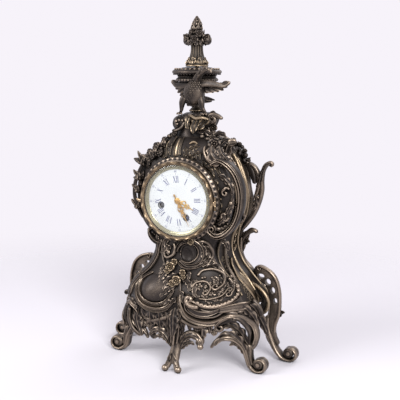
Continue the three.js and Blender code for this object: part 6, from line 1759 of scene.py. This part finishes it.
# The hands: pierced and chased gilt brass in the scrolled pattern, each with a boss at its eye. The hour
# hand turns with the hour wheel and the minute hand with the cannon pinion, held on by a domed nut.
gilt = metal("gilt_brass", (0.80, 0.50, 0.16), (0.42, 0.24, 0.08), 0.22, 0.3)


def hand_plate(name, half_line, loops, back, clockwise):
    """A flat hand in millimetres: its half outline mirrored and rounded, pierced by ovals on both sides,
    turned clockwise from upright about the dial's axis."""
    line = np.array(half_line, float)
    left = line[::-1] * (-1, 1)
    outline = ring_through(np.vstack([line, left[1:] if left[0, 0] == 0 else left]), 150)
    tools = [slab(oval(s * x, *size, 24), -2, 2, 0.05) for x, *size in loops for s in (1, -1)]
    mesh = carve(name, slab(outline, -0.55, 0, 0.14), tools)
    points = points_of(mesh)
    flat, _ = dial_place(points[:, [0, 2]], 0, clockwise)
    place(mesh, np.insert(flat, 1, points[:, 1] + back, axis=1))
    return mesh


hour_half = [
    (1.4, -2), (1.6, 3.6), (3.2, 6), (5.2, 8.6), (5.2, 11.4), (2.6, 13.4), (3.6, 16), (2.2, 18.4),
    (0.9, 19.6), (0.5, 22.5), (0, 26),
]
minute_half = [
    (1.1, -9), (0.7, -3), (1.4, 5), (3, 8), (4.2, 11), (3.8, 14), (2, 16.4), (3.2, 19.6), (2.6, 22.4),
    (1, 24.6), (0.4, 30), (0, 37.5),
]
for name, half_line, loops, hub, back, degrees, body in (
    ("hour_hand", hour_half, [(2.3, 9.8, 1.7, 2.3), (1.6, 16, 0.8, 1.2)], 4.2, -37.6, 115, "hour"),
    ("minute_hand", minute_half, [(1.9, 11.4, 1.3, 2.2), (1.5, 20, 0.9, 1.5)], 3.2, -38.6, 152, "cannon"),
):
    mesh = hand_plate(name + "_pierced", half_line, loops, back, math.radians(degrees))
    settle(mesh, name + "_pierced", gilt, body, [name], 0.6, 30)
    rows = [(0.5, -0.62), (hub * 0.6, -0.7), (hub * 0.9, -0.6), (hub, -0.3), (hub, -0.02), (0.5, 0)]
    boss = spool(0, DIAL_Z, [(r, back + y) for r, y in rows], 48, 0.8)
    piece(name + "_boss", [boss], gilt, body)
nut_rows = [(0.3, -40.2), (1.2, -40.1), (2, -39.85), (2.5, -39.6), (2.6, -39.36), (0.5, -39.35)]
piece("hand_nut_domed", [spool(0, DIAL_Z, nut_rows, 48, 0.9)], gilt, "cannon", ["hand_nut"])

# The beaded collar of the case that carries the bezel, and the movement inside, seen from behind and
# below: turned brass plates, wheels and barrels with their steel arbors.
piece(
    "case_collar",
    [dial_hoop([
        (48.2, -28), (48.2, -35.6), (49, -36.2), (52.4, -36.2), (53.6, -35.4), (54.6, -33.6), (56.6, -33),
        (57.2, -31.4), (57, -28), (55.5, -24), (50, -24),
    ], 200, 0.6, 48, 0.5, (4, 7))],
    bronze, "case",
)
steel_nodes = (
    "hinge_pin", "winding_arbor_going", "winding_arbor_strike", "centre_arbor", "pallet_anchor", "crutch",
    "cannon_pinion", "bell_stand", "hammer", "pendulum_rod", "strap_screw_right", "strap_screw_left",
    "rear_hinge_pin", "top_rod",
)
brass_nodes = (
    "dial_plate", "front_plate", "back_plate", "going_barrel", "middle_wheel", "escape_wheel",
    "minute_wheel", "hour_wheel", "strike_barrel", "pin_wheel", "count_wheel", "bell", "suspension_cock",
    "pendulum_bob", "rating_nut", "strap_right", "strap_left", "rear_ring",
)
for names, finish in (
    (steel_nodes, blued_steel), (brass_nodes, worked_brass), (("front_ring",), chased_brass),
):
    for node in names:
        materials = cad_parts[node].data.materials
        materials.clear()
        materials.append(finish)

# The rear door: a dished brass disc with turned rings and a small knob to pull it by. Its knuckle turns on
# a steel pin at one side of the brass ring behind the case.
rear_rows = [
    (1, 57.4), (47.6, 57.4), (48.8, 57.7), (49, 58.1), (48.4, 58.6), (46.6, 58.9), (45, 58.5), (43.4, 58.5),
    (42.4, 58.9), (41.4, 58.5), (14, 58.4), (13, 58.8), (12, 58.4), (1, 58.4),
]
rear_knob = [
    (1, 58.4), (2.2, 58.6), (1.5, 59.6), (1.5, 60.6), (3, 61.6), (3.4, 62.6), (2.8, 63.6), (1, 64),
]
rear_knuckle = [
    (1, -3.5), (1.6, -3.4), (1.7, -3.1), (1.5, -2.7), (1.5, 2.7), (1.7, 3.1), (1.6, 3.4), (1, 3.5),
]
piece(
    "rear_door_disc",
    [
        spool(0, DIAL_Z, rear_rows, 160, 0.6), spool(40, DIAL_Z, rear_knob, 40, 0.9),
        upright(-52, 58, rear_knuckle),
        bar([(-47, 58, DIAL_Z), (-49.5, 58.2, DIAL_Z), (-52, 58.2, DIAL_Z)], 0.6, (0, 1, 0), 3.2, 0.7, 0.4),
    ],
    worked_brass, "rear_door", ["rear_door"],
)
